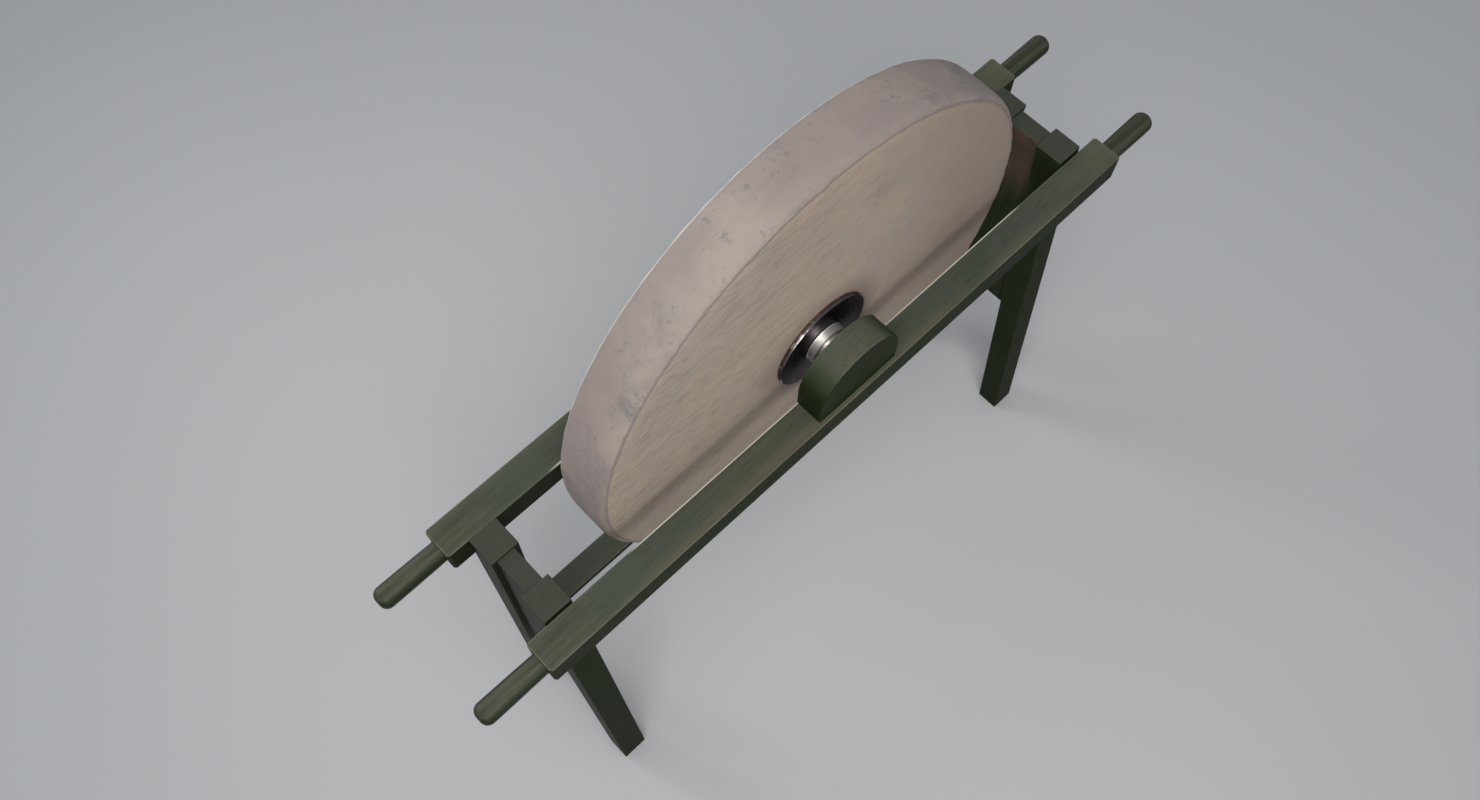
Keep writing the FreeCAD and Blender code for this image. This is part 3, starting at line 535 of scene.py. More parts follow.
def oiled_steel(name, metal, roughness=0.42):
    """Plain steel with an oily film and a little rust."""
    finish = Finish(name)
    spot = finish.place()
    film = finish.noise(spot, 70, detail=4, roughness=0.6)
    spots = finish.noise(spot, 380, detail=3, roughness=0.6)
    shadow = darker(metal.plain, 0.55)
    rusty = spots.step(0.56, 0.68) * film.step(0.46, 0.60)
    base = finish.blend(metal.plain, (film.step(0.40, 0.72), shadow), (rusty * 0.75, metal.rust))
    rough = roughness + rusty * 0.35 + (film - 0.5) * 0.2
    return finish.shade(base, rough, metallic=1.0 - rusty * 0.8, height=spots, relief=0.0001)


def forged_iron(metal):
    """Black iron with hammer marks, grey scale and rust."""
    finish = Finish("forged_iron")
    spot = finish.place()
    hammer = finish.cells(spot, 75, "SMOOTH_F1")
    scale = finish.noise(spot, 300, detail=4, roughness=0.65)
    clouds = finish.noise(spot, 34, detail=3)
    rusty = clouds.step(0.56, 0.72) * scale.step(0.5, 0.6)
    grey = (0.095, 0.092, 0.090)
    base = finish.blend(metal.forged, (scale.step(0.44, 0.66) * 0.6, grey), (rusty * 0.55, metal.rust))
    rough = 0.50 + (scale - 0.5) * 0.35
    return finish.shade(base, rough, metallic=0.75, height=hammer * 0.9 + scale * 0.30, relief=0.0006)


def bearing_bronze(metal):
    """Oiled bronze with dull patches."""
    finish = Finish("bearing_bronze")
    x, y, z = finish.place()
    film = finish.noise((x, y, z), 90, detail=4)
    rings = finish.noise((finish.distance(x, z - AXLE.z) * 2200, y * 2200, 0.0))
    base = finish.blend(metal.bronze, (film.step(0.42, 0.68), darker(metal.bronze, 0.45)))
    return finish.shade(base, 0.34 + (film - 0.5) * 0.3, metallic=1.0, height=rings, relief=0.00003)


def oiled_leather(metal):
    """Dark oiled leather with a fine pebble."""
    finish = Finish("oiled_leather")
    spot = finish.place()
    pebble = finish.cells(spot, 900)
    clouds = finish.noise(spot, 80, detail=4)
    base = finish.blend(metal.hide, (clouds.step(0.36, 0.66), darker(metal.hide, 0.40)))
    return finish.shade(base, 0.62 + (clouds - 0.5) * 0.2, height=pebble, relief=0.0003)


# What only some pieces of timber show


def rail_edge_highlight_and_wear(low, high, inward, timber):
    """Paints a pale highlight line on a rail's rounded top edge beside the stone, and rubs the stain thin
    towards its outer edge.

    inward is the sign of Y towards the stone."""
    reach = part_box("grindstone")[1].x
    inner, outer = (high.y, low.y) if inward > 0 else (low.y, high.y)

    def marks(finish, grain):
        x, y, z = finish.place()
        handled = (abs(y - outer) + (grain.clouds - 0.5) * 0.034).step(0.020, 0.001) * grain.top
        # Painted highlight: a pale line along the rounded inner top edge, only beside the stone.
        from_corner = finish.distance(y - inner, z - high.z) + abs(x) * 0.0006
        highlight_line = from_corner.step(0.0030, 0.0014) * abs(x).step(reach, reach - 0.03)
        return [
            (handled * abs(x).step(0.47, 0.28) * 0.40, timber.worn),
            (highlight_line * (0.60 + grain.clouds * 0.40), timber.rail_edge_highlight_and_wear),
        ]

    return marks


def fresh_ends(low, high, timber):
    """Leaves the stain fresh and green on both shoulders of a bearing block's round top."""
    centre = (low.x + high.x) / 2
    half = (high.x - low.x) / 2

    def marks(finish, grain):
        x, y, z = finish.place()
        fresh = (abs(x - centre) + (grain.clouds - 0.5) * 0.030).step(half * 0.42, half * 0.86)
        return [(fresh * (0.15 + grain.top * 0.60), timber.green)]

    return marks


def sawn_top(timber):
    """Evens the stain on a top that shows end grain."""

    def marks(finish, grain):
        return [(grain.top * (0.72 + grain.clouds * 0.20), timber.end_grain)]

    return marks


def torn_streaks(timber, inward):
    """Fine streaks down an end board's upper part, where the wet stone wore the stain through.

    inward is the sign of X towards the stone."""

    def marks(finish, grain):
        along, across, through = grain.straight
        near_top = along.step(STAND_HEIGHT - 0.17, STAND_HEIGHT - 0.03) * (1.0 - grain.top)
        near_top = near_top * (through * inward).step(0.0, MILLIMETRE)
        fine = finish.noise(grain.bent, (12, 190, 190), detail=4, roughness=0.65)
        broad = finish.noise(grain.bent, (7, 42, 42), 2, detail=3, distortion=0.4)
        torn = (fine * 0.55 + broad * 0.45 + near_top * 0.10).step(0.47, 0.62) * near_top
        return [
            (torn * 0.78, timber.brown),
            (broad.step(0.50, 0.36) * near_top * 0.70, timber.deep),
            *sawn_top(timber)(finish, grain),
        ]

    return marks


def handle_wear_sheen_shade(timber):
    """Thin pale stripes along a carrying handle, partly wear and partly a painted highlight on its upper
    side, and painted shade on its lower side.
    """

    def marks(finish, grain):
        stripes = finish.noise(grain.straight, (5, 75, 75), detail=3).step(0.46, 0.66)
        return [
            # Stripes: wear, with a painted highlight added on the upper side.
            (stripes * (0.08 + grain.top * 0.18), timber.worn),
            # Painted shade: the handle's lower side darkened with the deep stain.
            ((1.0 - grain.top) * 0.55, timber.deep),
        ]

    return marks


# Where the grain runs in each kind of timber piece


def straight_grain(low, high):
    """Grain along X in a squared piece between two corners."""
    centre = (low + high) / 2
    half = (high - low) / 2

    def grain_place(finish):
        x, y, z = finish.place()
        across, through = y - centre.y, z - centre.z
        edge = finish.middle(half.x - abs(x - centre.x), half.y - abs(across), half.z - abs(through))
        return x, across, through, edge

    return grain_place


def leg_grain(low, high, side):
    """Grain down a splayed leg, whose foot is further out than its top. side is -1 for a near leg."""
    centre_x = (low.x + high.x) / 2
    half_x = (high.x - low.x) / 2
    foot_y, top_y = low.y + LEG_FOOT_WIDTH / 2, high.y - LEG_TOP_WIDTH / 2
    if side > 0:
        foot_y, top_y = high.y - LEG_FOOT_WIDTH / 2, low.y + LEG_TOP_WIDTH / 2
    slope = (top_y - foot_y) / (high.z - low.z)
    taper = (LEG_TOP_WIDTH - LEG_FOOT_WIDTH) / 2 / (high.z - low.z)

    def grain_place(finish):
        x, y, z = finish.place()
        up = z - low.z
        across = y - (up * slope + foot_y)
        from_side = (up * taper + LEG_FOOT_WIDTH / 2) - abs(across)
        from_end = half_x - abs(x - centre_x)
        edge = finish.middle(from_end, from_side, finish.lowest(up, high.z - z))
        return z, across, x - centre_x, edge

    return grain_place


def board_grain(low, high, leg_slope):
    """Upright grain in a board that narrows towards its top."""
    centre = (low + high) / 2
    half = (high - low) / 2

    def grain_place(finish):
        x, y, z = finish.place()
        across, through = y - centre.y, x - centre.x
        from_side = (half.y - (z - low.z) * leg_slope) - abs(across)
        edge = finish.middle(half.x - abs(through), from_side, finish.lowest(z - low.z, high.z - z))
        return z, across, through, edge

    return grain_place


def block_grain(low, high):
    """Grain along X in a block with a half-round top."""
    centre = (low + high) / 2
    reach = (high.x - low.x) / 2
    shoulder = high.z - reach

    def grain_place(finish):
        x, y, z = finish.place()
        out = finish.distance(x - centre.x, finish.highest(z - shoulder, 0.0))
        from_face = (high.y - low.y) / 2 - abs(y - centre.y)
        edge = finish.highest(from_face, reach - out)
        return x, (z - shoulder) * 0.8, y - centre.y, edge

    return grain_place


# Modelling


def deselect():
    """Nothing selected, and Object Mode."""
    if bpy.context.object and bpy.context.object.mode != "OBJECT":
        bpy.ops.object.mode_set(mode="OBJECT")
    bpy.ops.object.select_all(action="DESELECT")


def pick(piece):
    """Makes a piece the only one that is selected."""
    deselect()
    piece.select_set(True)
    bpy.context.view_layer.objects.active = piece


def edit(piece):
    """Edit Mode on a piece, with nothing selected."""
    pick(piece)
    bpy.ops.object.mode_set(mode="EDIT")
    bpy.ops.mesh.select_mode(type="VERT")
    bpy.ops.mesh.select_all(action="DESELECT")


def select(piece, kind, test):
    """Selects the vertices, edges or faces of the piece in Edit Mode that pass a test."""
    shape = bmesh.from_edit_mesh(piece.data)
    for part in getattr(shape, kind):
        part.select_set(test(part))
    shape.select_flush_mode()
    bmesh.update_edit_mesh(piece.data)


def modify(piece, kind, **settings):
    """Adds a modifier and applies it."""
    pick(piece)
    modifier = piece.modifiers.new(kind.title(), kind)
    for key, value in settings.items():
        setattr(modifier, key, value)
    bpy.ops.object.modifier_apply(modifier=modifier.name)


def dress(piece, *materials):
    """Gives a piece its materials in place of any it has."""
    piece.data.materials.clear()
    for material in materials:
        piece.data.materials.append(material)


def finish_piece(piece, name, body, slot, node, *materials, place=(0, 0, 0), turn=(0, 0, 0), crisp=25):
    """Names a new piece, puts it in its place, dresses it, and lets it ride on its body and stand for its
    CAD node. Edges sharper than crisp, in degrees, aren't shaded smooth."""
    pick(piece)
    piece.name = name
    piece.data.name = name
    piece.location = place
    piece.rotation_euler = turn
    bpy.ops.object.transform_apply(location=True, rotation=True, scale=True)
    bpy.ops.object.shade_smooth_by_angle(angle=radians(crisp))
    dress(piece, *materials)
    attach(piece, body)
    if node:
        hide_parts(node)


def on_axle(y):
    """A point of the axle's line."""
    return Vector((AXLE.x, y, AXLE.z))


def arc(radius, height, size, start, end, count):
    """Points of (radius, height) on an arc about a centre, from a start to an end angle in degrees."""
    turn = [radians(start + (end - start) * i / count) for i in range(count + 1)]
    return [(radius + size * cos(t), height + size * sin(t)) for t in turn]


def mirror(outline, height):
    """The points of an outline's other end, mirrored about half the height."""
    return [(r, height - h) for r, h in reversed(outline)]


def lathe(outline, steps, closed=True):
    """Turns an outline of (radius, height) points about the Z axis. A closed outline has a bore."""
    deselect()
    bpy.ops.mesh.primitive_plane_add(size=0.1)
    piece = bpy.context.object
    bpy.ops.object.mode_set(mode="EDIT")
    bpy.ops.mesh.select_mode(type="VERT")
    bpy.ops.mesh.select_all(action="SELECT")
    bpy.ops.mesh.merge(type="CENTER")
    first = outline[0]
    bpy.ops.transform.translate(value=(first[0], 0, first[1]))
    ring = outline + [first] if closed else outline
    for here, there in zip(ring, ring[1:]):
        step = (there[0] - here[0], 0, there[1] - here[1])
        bpy.ops.mesh.extrude_vertices_move(TRANSFORM_OT_translate={"value": step})
    bpy.ops.mesh.select_all(action="SELECT")
    bpy.ops.mesh.spin(steps=steps, angle=2 * pi, center=(0, 0, 0), axis=(0, 0, 1))
    bpy.ops.mesh.select_all(action="SELECT")
    bpy.ops.mesh.remove_doubles(threshold=WELD)
    bpy.ops.mesh.normals_make_consistent(inside=False)
    bpy.ops.object.mode_set(mode="OBJECT")
    return piece


def cut_with(piece, outline, operation):
    """Cuts a piece, by a boolean operation, with an outline turned about the Z axis."""
    cutter = lathe(outline, 48, closed=False)
    modify(piece, "BOOLEAN", operation=operation, object=cutter, solver="EXACT")
    bpy.data.objects.remove(cutter)


def hexagon(radius, height, bore, chamfer):
    """A nut or a screw head about the Z axis from height 0, its corners turned off at both ends."""
    deselect()
    middle = (0, 0, height / 2)
    bpy.ops.mesh.primitive_cylinder_add(vertices=6, radius=radius, depth=height, location=middle)
    piece = bpy.context.object
    flat = radius * cos(pi / 6)
    broken_edge = 0.00025
    end = [(0, 0), (flat - chamfer, 0), (radius + chamfer, radius - flat + chamfer * 1.2)]
    cut_with(piece, end + mirror(end, height), "INTERSECT")
    if bore:
        hole = [(0, -height), (bore, -height), (bore, 2 * height), (0, 2 * height)]
        cut_with(piece, hole, "DIFFERENCE")
    modify(piece, "BEVEL", width=broken_edge, segments=2, limit_method="ANGLE", angle_limit=radians(25))
    return piece


# Operators


class GRINDSTONE_OT_timber(bpy.types.Operator):
    """Stain and wear the rails, legs, boards, stretcher and bearing blocks, with painted light on their
    upper faces and painted shade on their upright faces
    """

    bl_idname = "grindstone.timber"
    bl_label = "Timber"

    def execute(self, context):
        timber = context.scene.grindstone.timber

        def stain(node, grain, **wear):
            dress(NODES[node], stained_wood(f"stained_{node}", grain, timber, **wear))

        for side in SIDES:
            inward = 1 if side == "near" else -1
            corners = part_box(f"{side}_rail")
            stain(f"{side}_rail", straight_grain(*corners), marks=rail_edge_highlight_and_wear(*corners, inward, timber))
            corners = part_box(f"{side}_bearing_block")
            fresh = fresh_ends(*corners, timber)
            stain(f"{side}_bearing_block", block_grain(*corners), bleach=1.4, edge_wear=0.25, marks=fresh)
            for end in ENDS:
                leg = f"{side}_{end}_leg"
                grain = leg_grain(*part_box(leg), -inward)
                stain(leg, grain, tone=0.08, edge_wear=0.35, marks=sawn_top(timber))
        low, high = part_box("near_left_leg")
        slope = (high.y - low.y - LEG_FOOT_WIDTH) / (high.z - low.z)
        for end in ENDS:
            board = f"{end}_end_board"
            streaks = torn_streaks(timber, 1 if end == "left" else -1)
            stain(board, board_grain(*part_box(board), slope), tone=0.25, edge_wear=0.35, marks=streaks)
        grain = straight_grain(*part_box("far_stretcher"))
        dress(NODES["far_stretcher"], stained_wood("stained_stretcher", grain, timber, bleach=1.2))
        return {"FINISHED"}


class GRINDSTONE_OT_handles(bpy.types.Operator):
    """Turn the four carrying handles"""

    bl_idname = "grindstone.handles"
    bl_label = "Carrying Handles"

    def execute(self, context):
        settings = context.scene.grindstone.handle
        timber = context.scene.grindstone.timber
        size = settings.tip_round
        curve = 10
        for side in SIDES:
            for end in ENDS:
                node = f"{side}_{end}_handle"
                low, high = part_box(node)
                rail_end = abs(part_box(f"{side}_rail")[1].x)
                tip = max(abs(low.x), abs(high.x)) - rail_end
                tenon = (high.x - low.x) - tip
                thick = (high.z - low.z) / 2
                swell = thick - settings.root
                outline = [(0, -tenon), (settings.tenon - MILLIMETRE, -tenon)]
                outline += [(settings.tenon, MILLIMETRE - tenon), (settings.tenon, 0), (settings.root, 0)]
                for i in range(1, curve):
                    radius = settings.root + swell * sin(pi / 2 * i / curve)
                    outline.append((radius, (tip - size) * i / curve))
                outline += arc(thick - size, tip - size, size, 0, 90, curve) + [(0, tip)]
                material = stained_wood(
                    f"stained_{node}", straight_grain(low, high), timber,
                    bleach=0.0, gleam=timber.handle_gleam, marks=handle_wear_sheen_shade(timber),
                )
                outward = -1 if end == "left" else 1
                centre = (low + high) / 2
                finish_piece(
                    lathe(outline, settings.steps, closed=False), f"{node}_turned",
                    "frame", "handle_wood", node, material,
                    place=(outward * rail_end, centre.y, centre.z), turn=(0, outward * pi / 2, 0), crisp=35,
                )
        return {"FINISHED"}


class GRINDSTONE_OT_stone(bpy.types.Operator):
    """Dress the grindstone, with an uneven rim and chipped edges"""

    bl_idname = "grindstone.stone"
    bl_label = "Grindstone"

    def execute(self, context):
        settings = context.scene.grindstone.stone
        low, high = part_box("grindstone")
        radius = high.z - AXLE.z - settings.waviness
        half = (high.y - low.y) / 2
        bore = 0.0281
        size = settings.round
        washer_margin = 0.004
        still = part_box("near_packing_washer")[1].z - AXLE.z + washer_margin
        face_rings, rim_rows = 26, 14
        reach = radius - size - still
        side = [(bore, half)] + [(still + reach * i / face_rings, half) for i in range(face_rings)]
        side += reversed(arc(radius - size, half - size, size, 0, 90, 8))
        rim = [(radius, (half - size) * (1 - 2 * i / rim_rows)) for i in range(1, rim_rows)]
        piece = lathe(side + rim + mirror(side, 0), settings.steps)
        pick(piece)
        loose = piece.vertex_groups.new(name="loose")
        edge = piece.vertex_groups.new(name="edge")
        chipped = 1.6 * size
        for vertex in piece.data.vertices:
            out = hypot(vertex.co.x, vertex.co.y)
            if out > still + MILLIMETRE:
                loose.add([vertex.index], 1.0, "REPLACE")
            from_edge = hypot(out - radius, abs(vertex.co.z) - half)
            if from_edge < chipped:
                edge.add([vertex.index], 1 - from_edge / chipped, "REPLACE")
        for name, kind, scale, octaves, depth, level, group in (
            ("stone_waves", "SOFT_NOISE", 0.07, 3, settings.waviness, 0.5, "loose"),
            ("stone_chips", "HARD_NOISE", 0.022, 4, settings.chips, 1.0, "edge"),
        ):
            cloud = bpy.data.textures.new(name, "CLOUDS")
            cloud.noise_type = kind
            cloud.noise_scale = scale
            cloud.noise_depth = octaves
            modify(piece, "DISPLACE", texture=cloud, strength=depth * 2, mid_level=level, vertex_group=group)
        finish_piece(
            piece, "grindstone_dressed", "rotor", "gritstone", "grindstone", gritstone(settings),
            place=on_axle((low.y + high.y) / 2), turn=TOWARDS_FAR, crisp=60,
        )
        return {"FINISHED"}


def disc_outline(thick, radius, bore, chamfer):
    """Outline of a plain clamping flange, whose outer edge is chamfered."""
    outline = [(bore, 0), (radius - chamfer, 0), (radius, chamfer), (radius, thick - chamfer * 1.6)]
    return outline + [(radius - chamfer * 1.6, thick), (bore, thick)]


def hub_outline(width, radius, metal):
    """Outline of the near flange: a slightly hollow disc, a fillet, a hub and a narrower neck."""
    cut = metal.chamfer
    fillet = 0.002
    hollow = metal.disc * 0.94
    shoulder = width - metal.neck_length
    outline = disc_outline(metal.disc, radius, metal.shaft, cut)[:-1]
    outline += arc(metal.hub + fillet, hollow + fillet, fillet, 270, 180, 5)
    outline += [(metal.hub, shoulder - cut), (metal.hub - cut, shoulder), (metal.neck, shoulder)]
    return outline + [(metal.neck, width - cut), (metal.neck - cut, width), (metal.shaft, width)]


class GRINDSTONE_OT_flanges(bpy.types.Operator):
    """Turn the two clamping flanges and the shaft collar"""

    bl_idname = "grindstone.flanges"
    bl_label = "Flanges and Collar"

    def execute(self, context):
        metal = context.scene.grindstone.metal
        steps = context.scene.grindstone.handle.steps
        cut = metal.chamfer
        low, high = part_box("near_flange")
        radius = high.z - AXLE.z
        dark = turned_metal(
            "dark_flange_steel", metal.dark, 0.27, smudge=0.08, glint_from=radius - cut * 2, glance=0.35
        )
        bright = turned_metal("bright_hub_steel", metal.bright, 0.42, smudge=0.05, dirt=0.2)
        near = lathe(hub_outline(high.y - low.y, radius, metal), steps)
        finish_piece(
            near, "near_flange_turned", "rotor", "dark_steel", "near_flange", dark, bright,
            place=on_axle(high.y), turn=TOWARDS_NEAR,
        )
        hub_start = high.y - metal.disc - MILLIMETRE / 2
        for face in near.data.polygons:
            spot = face.center
            if spot.y < hub_start and hypot(spot.x, spot.z - AXLE.z) < metal.hub + MILLIMETRE:
                face.material_index = 1
        low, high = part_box("far_flange")
        finish_piece(
            lathe(disc_outline(high.y - low.y, radius, metal.shaft, cut), steps), "far_flange_turned",
            "rotor", "dark_steel", "far_flange", dark, place=on_axle(low.y), turn=TOWARDS_FAR,
        )
        low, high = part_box("shaft_collar")
        radius = high.z - AXLE.z
        bore = 0.01405
        end = [(bore, 0), (radius - cut, 0), (radius, cut)]
        finish_piece(
            lathe(end + mirror(end, high.y - low.y), steps), "shaft_collar_turned",
            "rotor", "plain_steel", "shaft_collar", turned_metal("collar_steel", metal.plain, 0.34),
            place=on_axle(low.y), turn=TOWARDS_FAR,
        )
        return {"FINISHED"}


class GRINDSTONE_OT_nuts(bpy.types.Operator):
    """Model the flange nut, the crank nut and the thread on the axle's end"""

    bl_idname = "grindstone.nuts"
    bl_label = "Nuts and Thread"

    def execute(self, context):
        metal = context.scene.grindstone.metal
        steel = oiled_steel("oiled_nut_steel", metal)
        for node, bore in (("flange_nut", 0.0150), ("crank_nut", 0.0070)):
            low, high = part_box(node)
            radius = max(high.x - AXLE.x, high.z - AXLE.z)
            finish_piece(
                hexagon(radius, high.y - low.y, bore, MILLIMETRE), f"{node}_chamfered",
                "rotor", "plain_steel", node, steel, place=on_axle(low.y), turn=TOWARDS_FAR,
            )
        stub_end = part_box("axle")[1].y
        pitch = metal.thread
        turns = int((stub_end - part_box("crank_nut")[0].y) / pitch) - 1
        inside, core, crest = 0.0060, 0.0068, 0.0074
        outline = [(core, 0)]
        for turn in range(turns):
            outline += [(crest, pitch * (turn + 0.40)), (crest, pitch * (turn + 0.60))]
            outline.append((core, pitch * (turn + 1)))
        outline += [(inside, pitch * turns), (inside, 0)]
        finish_piece(
            lathe(outline, 48), "axle_end_thread", "rotor", "plain_steel", None, steel,
            place=on_axle(stub_end - pitch * (turns + 0.7)), turn=TOWARDS_FAR, crisp=20,
        )
        return {"FINISHED"}


class GRINDSTONE_OT_screws(bpy.types.Operator):
    """Model the screws that hold the bearing blocks"""

    bl_idname = "grindstone.screws"
    bl_label = "Block Screws"

    def execute(self, context):
        steel = oiled_steel("oiled_screw_steel", context.scene.grindstone.metal, 0.5)
        head_height, head_chamfer = 0.0055, 0.0007
        shank_radius, shank_start = 0.004, 0.004
        for side in SIDES:
            node = f"{side}_block_screws"
            low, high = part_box(node)
            centre = (low + high) / 2
            head = high.y - centre.y
            tall = high.z - low.z
            outline = [(0, shank_start), (shank_radius, shank_start), (shank_radius, tall), (0, tall)]
            for end, x in zip(ENDS, (low.x + head, high.x - head)):
                screw = hexagon(head, head_height, 0, head_chamfer)
                pick(lathe(outline, 24, closed=False))
                screw.select_set(True)
                bpy.context.view_layer.objects.active = screw
                bpy.ops.object.join()
                finish_piece(
                    screw, f"{side}_{end}_block_screw", "frame", "plain_steel", node, steel,
                    place=(x, centre.y, low.z),
                )
        return {"FINISHED"}


class GRINDSTONE_OT_crank(bpy.types.Operator):
    """Forge the crank: boss, tapered arm and eye, blended into one another"""

    bl_idname = "grindstone.crank"
    bl_label = "Crank Arm"

    def execute(self, context):
        low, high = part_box("crank_arm")
        boss = high.z - AXLE.z
        eye = PIN.z - low.z
        arm_offset, thick = 0.007, 0.012
        arm_start = low.y + arm_offset
        width, taper, corner = 0.028, 0.78, 0.0028
        sink, voxel = 0.0006, 0.0011
        deselect()
        parts = []
        for radius, where, deep, start in (
            (boss - sink, AXLE, high.y - low.y - 2 * sink, low.y + sink),
            (eye - sink, PIN, thick - 2 * sink, arm_start + sink),
        ):
            place = (where.x, start + deep / 2, where.z)
            bpy.ops.mesh.primitive_cylinder_add(
                vertices=72, radius=radius, depth=deep, location=place, rotation=TOWARDS_FAR
            )
            parts.append(bpy.context.object)
        throw = AXLE.z - PIN.z
        middle = (AXLE.z + PIN.z) / 2
        bpy.ops.mesh.primitive_cube_add(size=1, location=(0, arm_start + thick / 2, middle))
        arm = bpy.context.object
        arm.scale = (width, thick - 2 * sink, throw)
        bpy.ops.object.transform_apply(location=True, rotation=True, scale=True)
        edit(arm)
        select(arm, "verts", lambda vertex: vertex.co.z < middle)
        bpy.ops.transform.resize(value=(taper, 1, 1), center_override=(0, arm_start, PIN.z))
        select(arm, "edges", lambda bar: abs(bar.verts[0].co.z - bar.verts[1].co.z) > throw / 2)
        bpy.ops.mesh.bevel(offset=corner, segments=3, affect="EDGES")
        pick(arm)
        for part in parts:
            part.select_set(True)
        bpy.ops.object.join()
        modify(arm, "REMESH", mode="VOXEL", voxel_size=voxel)
        modify(arm, "SMOOTH", factor=0.5, iterations=7)
        iron = forged_iron(context.scene.grindstone.metal)
        finish_piece(arm, "crank_arm_forged", "rotor", "forged_iron", "crank_arm", iron, crisp=60)
        return {"FINISHED"}


class GRINDSTONE_OT_grip(bpy.types.Operator):
    """Turn the crank's wooden grip, with a bead at each end"""

    bl_idname = "grindstone.grip"
    bl_label = "Crank Grip"

    def execute(self, context):
        low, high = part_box("crank_grip")
        wide = high.y - low.y
        bore = 0.00705
        end = 0.0135
        bead = 0.0045
        mouth, groove = end - 0.0015, end - 0.0012
        swell = (high.z - low.z) / 2 - end
        outline = [(bore, 0), (mouth, 0)]
        outline += arc(end - bead / 2, bead / 2, bead / 2, -80, 80, 8)
        outline += [(groove, bead + 0.0006), (groove, bead + 0.0016)]
        start = bead + 0.0022
        long = wide - 2 * start
        rows = 24
        barrel = [(end + swell * sin(pi * i / rows), start + long * i / rows) for i in range(rows + 1)]
        grip = lathe(outline + barrel + mirror(outline, wide), context.scene.grindstone.handle.steps)
        wood = plain_wood(
            "oiled_grip_wood", context.scene.grindstone.timber.oiled, 0.36, PIN, along_axle=True
        )
        finish_piece(
            grip, "crank_grip_turned", "grip", "grip_wood", "crank_grip", wood,
            place=(PIN.x, low.y, PIN.z), turn=TOWARDS_FAR, crisp=35,
        )
        return {"FINISHED"}


class GRINDSTONE_OT_fittings(bpy.types.Operator):
    """Give the axle, bushes, washers, dowels and small screws their materials"""

    bl_idname = "grindstone.fittings"
    bl_label = "Axle and Fittings"

    def execute(self, context):
        metal = context.scene.grindstone.metal
        dowel_wood = plain_wood("plain_dowel_wood", context.scene.grindstone.timber.plain, 0.6, AXLE)
        steel_nodes = ("drive_key", "hub_screw", "nut_washer", "collar_screw", "crank_washer", "crank_pin")
        dowel_nodes = ("left_leg_dowels", "right_leg_dowels", "left_board_dowels", "right_board_dowels")
        for material, nodes in (
            (turned_metal("bright_axle_steel", metal.bright, 0.20, smudge=0.05), ("axle",)),
            (oiled_steel("oiled_steel", metal), (*steel_nodes, "grip_washers")),
            (bearing_bronze(metal), ("near_bush", "far_bush", "thrust_pad")),
            (oiled_leather(metal), ("near_packing_washer", "far_packing_washer")),
            (dowel_wood, (*dowel_nodes, "stretcher_pegs", "centre_sleeve")),
        ):
            for node in nodes:
                dress(NODES[node], material)
        return {"FINISHED"}


def lamp(name, watts, size, place, aim, tint, spread=180):
    """A square soft light that shines at a point. A spread under 180 degrees keeps it off the floor."""
    deselect()
    bpy.ops.object.light_add(type="AREA", location=place)
    light = bpy.context.object
    light.name = name
    light.data.energy = watts
    light.data.size = size
    light.data.color = tint
    light.data.spread = radians(spread)
    light.rotation_euler = (Vector(aim) - Vector(place)).to_track_quat("-Z", "Y").to_euler()


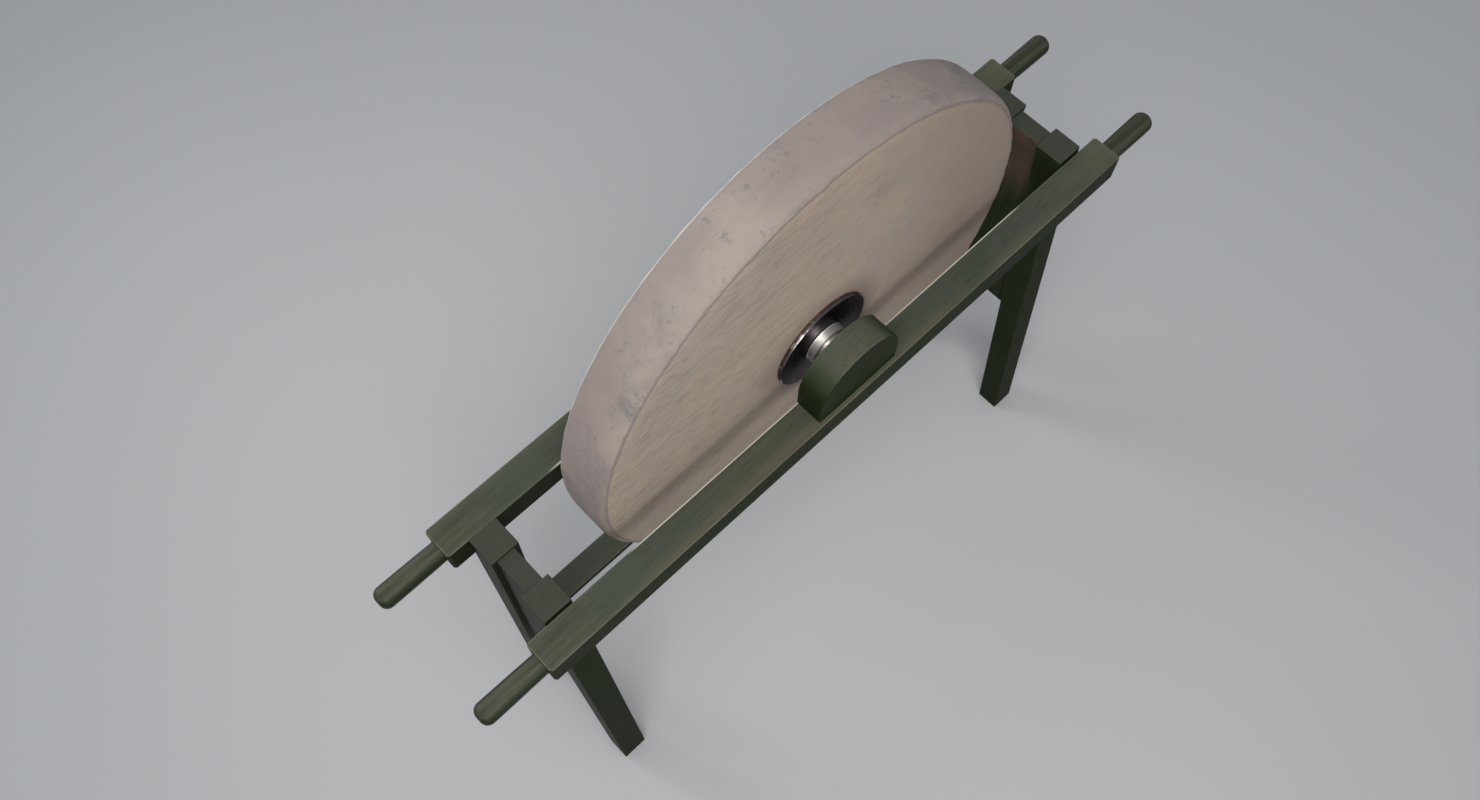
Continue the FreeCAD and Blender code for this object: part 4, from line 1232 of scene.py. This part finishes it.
class GRINDSTONE_OT_stage(bpy.types.Operator):
    """Lay the floor, hang the lights and set the camera"""

    bl_idname = "grindstone.stage"
    bl_label = "Stage"

    def execute(self, context):
        stage = context.scene.grindstone.stage
        floor_size = 120
        deselect()
        bpy.ops.mesh.primitive_plane_add(size=floor_size, location=(0, 0, CAD_BOX[0].z))
        floor = bpy.context.object
        floor.name = "floor"
        dress(floor, Finish("plain_floor").shade(tuple(stage.floor), 0.85))

        middle = Vector((0, AXLE.y, STAND_HEIGHT))
        lamp("key_light", stage.key, 1.6, (-0.9, -0.95, 3.1), middle, (1.0, 0.985, 0.955))
        lamp("front_light", stage.front, 1.4, (-0.8, -2.7, 0.80), middle, (1.0, 0.985, 0.96), 60)
        lamp("top_light", stage.top, 1.8, (-0.7, 1.1, 2.9), middle, (0.93, 0.96, 1.0))
        lamp("rim_light", stage.rim, 1.0, (-1.1, 2.6, 1.15), middle, (1.0, 0.98, 0.95), 60)

        world = bpy.data.worlds.new("studio")
        context.scene.world = world
        world.use_nodes = True
        sky = world.node_tree.nodes["Background"]
        sky.inputs["Color"].default_value = (0.90, 0.94, 1.0, 1.0)
        sky.inputs["Strength"].default_value = stage.sky
        context.scene.view_settings.view_transform = "Standard"

        turn, rise = stage.azimuth, stage.elevation
        back = Vector((sin(turn) * cos(rise), -cos(turn) * cos(rise), sin(rise)))
        bpy.ops.object.camera_add(location=Vector(stage.aim) + back * stage.distance)
        camera = bpy.context.object
        camera.name = "camera"
        camera.data.lens = stage.lens
        camera.data.sensor_width = 36
        camera.rotation_euler = back.to_track_quat("Z", "Y").to_euler()
        context.scene.camera = camera
        return {"FINISHED"}


OPERATORS = (
    GRINDSTONE_OT_timber,
    GRINDSTONE_OT_handles,
    GRINDSTONE_OT_stone,
    GRINDSTONE_OT_flanges,
    GRINDSTONE_OT_nuts,
    GRINDSTONE_OT_screws,
    GRINDSTONE_OT_crank,
    GRINDSTONE_OT_grip,
    GRINDSTONE_OT_fittings,
    GRINDSTONE_OT_stage,
)


class GRINDSTONE_PT_pieces(bpy.types.Panel):
    """Lists what can be built"""

    bl_idname = "GRINDSTONE_PT_pieces"
    bl_label = "Grindstone"
    bl_space_type = "VIEW_3D"
    bl_region_type = "UI"
    bl_category = "Grindstone"

    def draw(self, context):
        for operator in OPERATORS:
            self.layout.operator(operator.bl_idname)


CLASSES = (
    TimberSettings,
    HandleSettings,
    StoneSettings,
    MetalSettings,
    StageSettings,
    GrindstoneSettings,
    *OPERATORS,
    GRINDSTONE_PT_pieces,
)


def register():
    for kind in CLASSES:
        bpy.utils.register_class(kind)
    bpy.types.Scene.grindstone = PointerProperty(type=GrindstoneSettings)


def unregister():
    del bpy.types.Scene.grindstone
    for kind in reversed(CLASSES):
        bpy.utils.unregister_class(kind)


def main():
    """Builds everything in order."""
    register()
    bpy.ops.grindstone.timber()
    bpy.ops.grindstone.handles()
    bpy.ops.grindstone.stone()
    bpy.ops.grindstone.flanges()
    bpy.ops.grindstone.nuts()
    bpy.ops.grindstone.screws()
    bpy.ops.grindstone.crank()
    bpy.ops.grindstone.grip()
    bpy.ops.grindstone.fittings()
    bpy.ops.grindstone.stage()


if __name__ == "__main__":
    main()
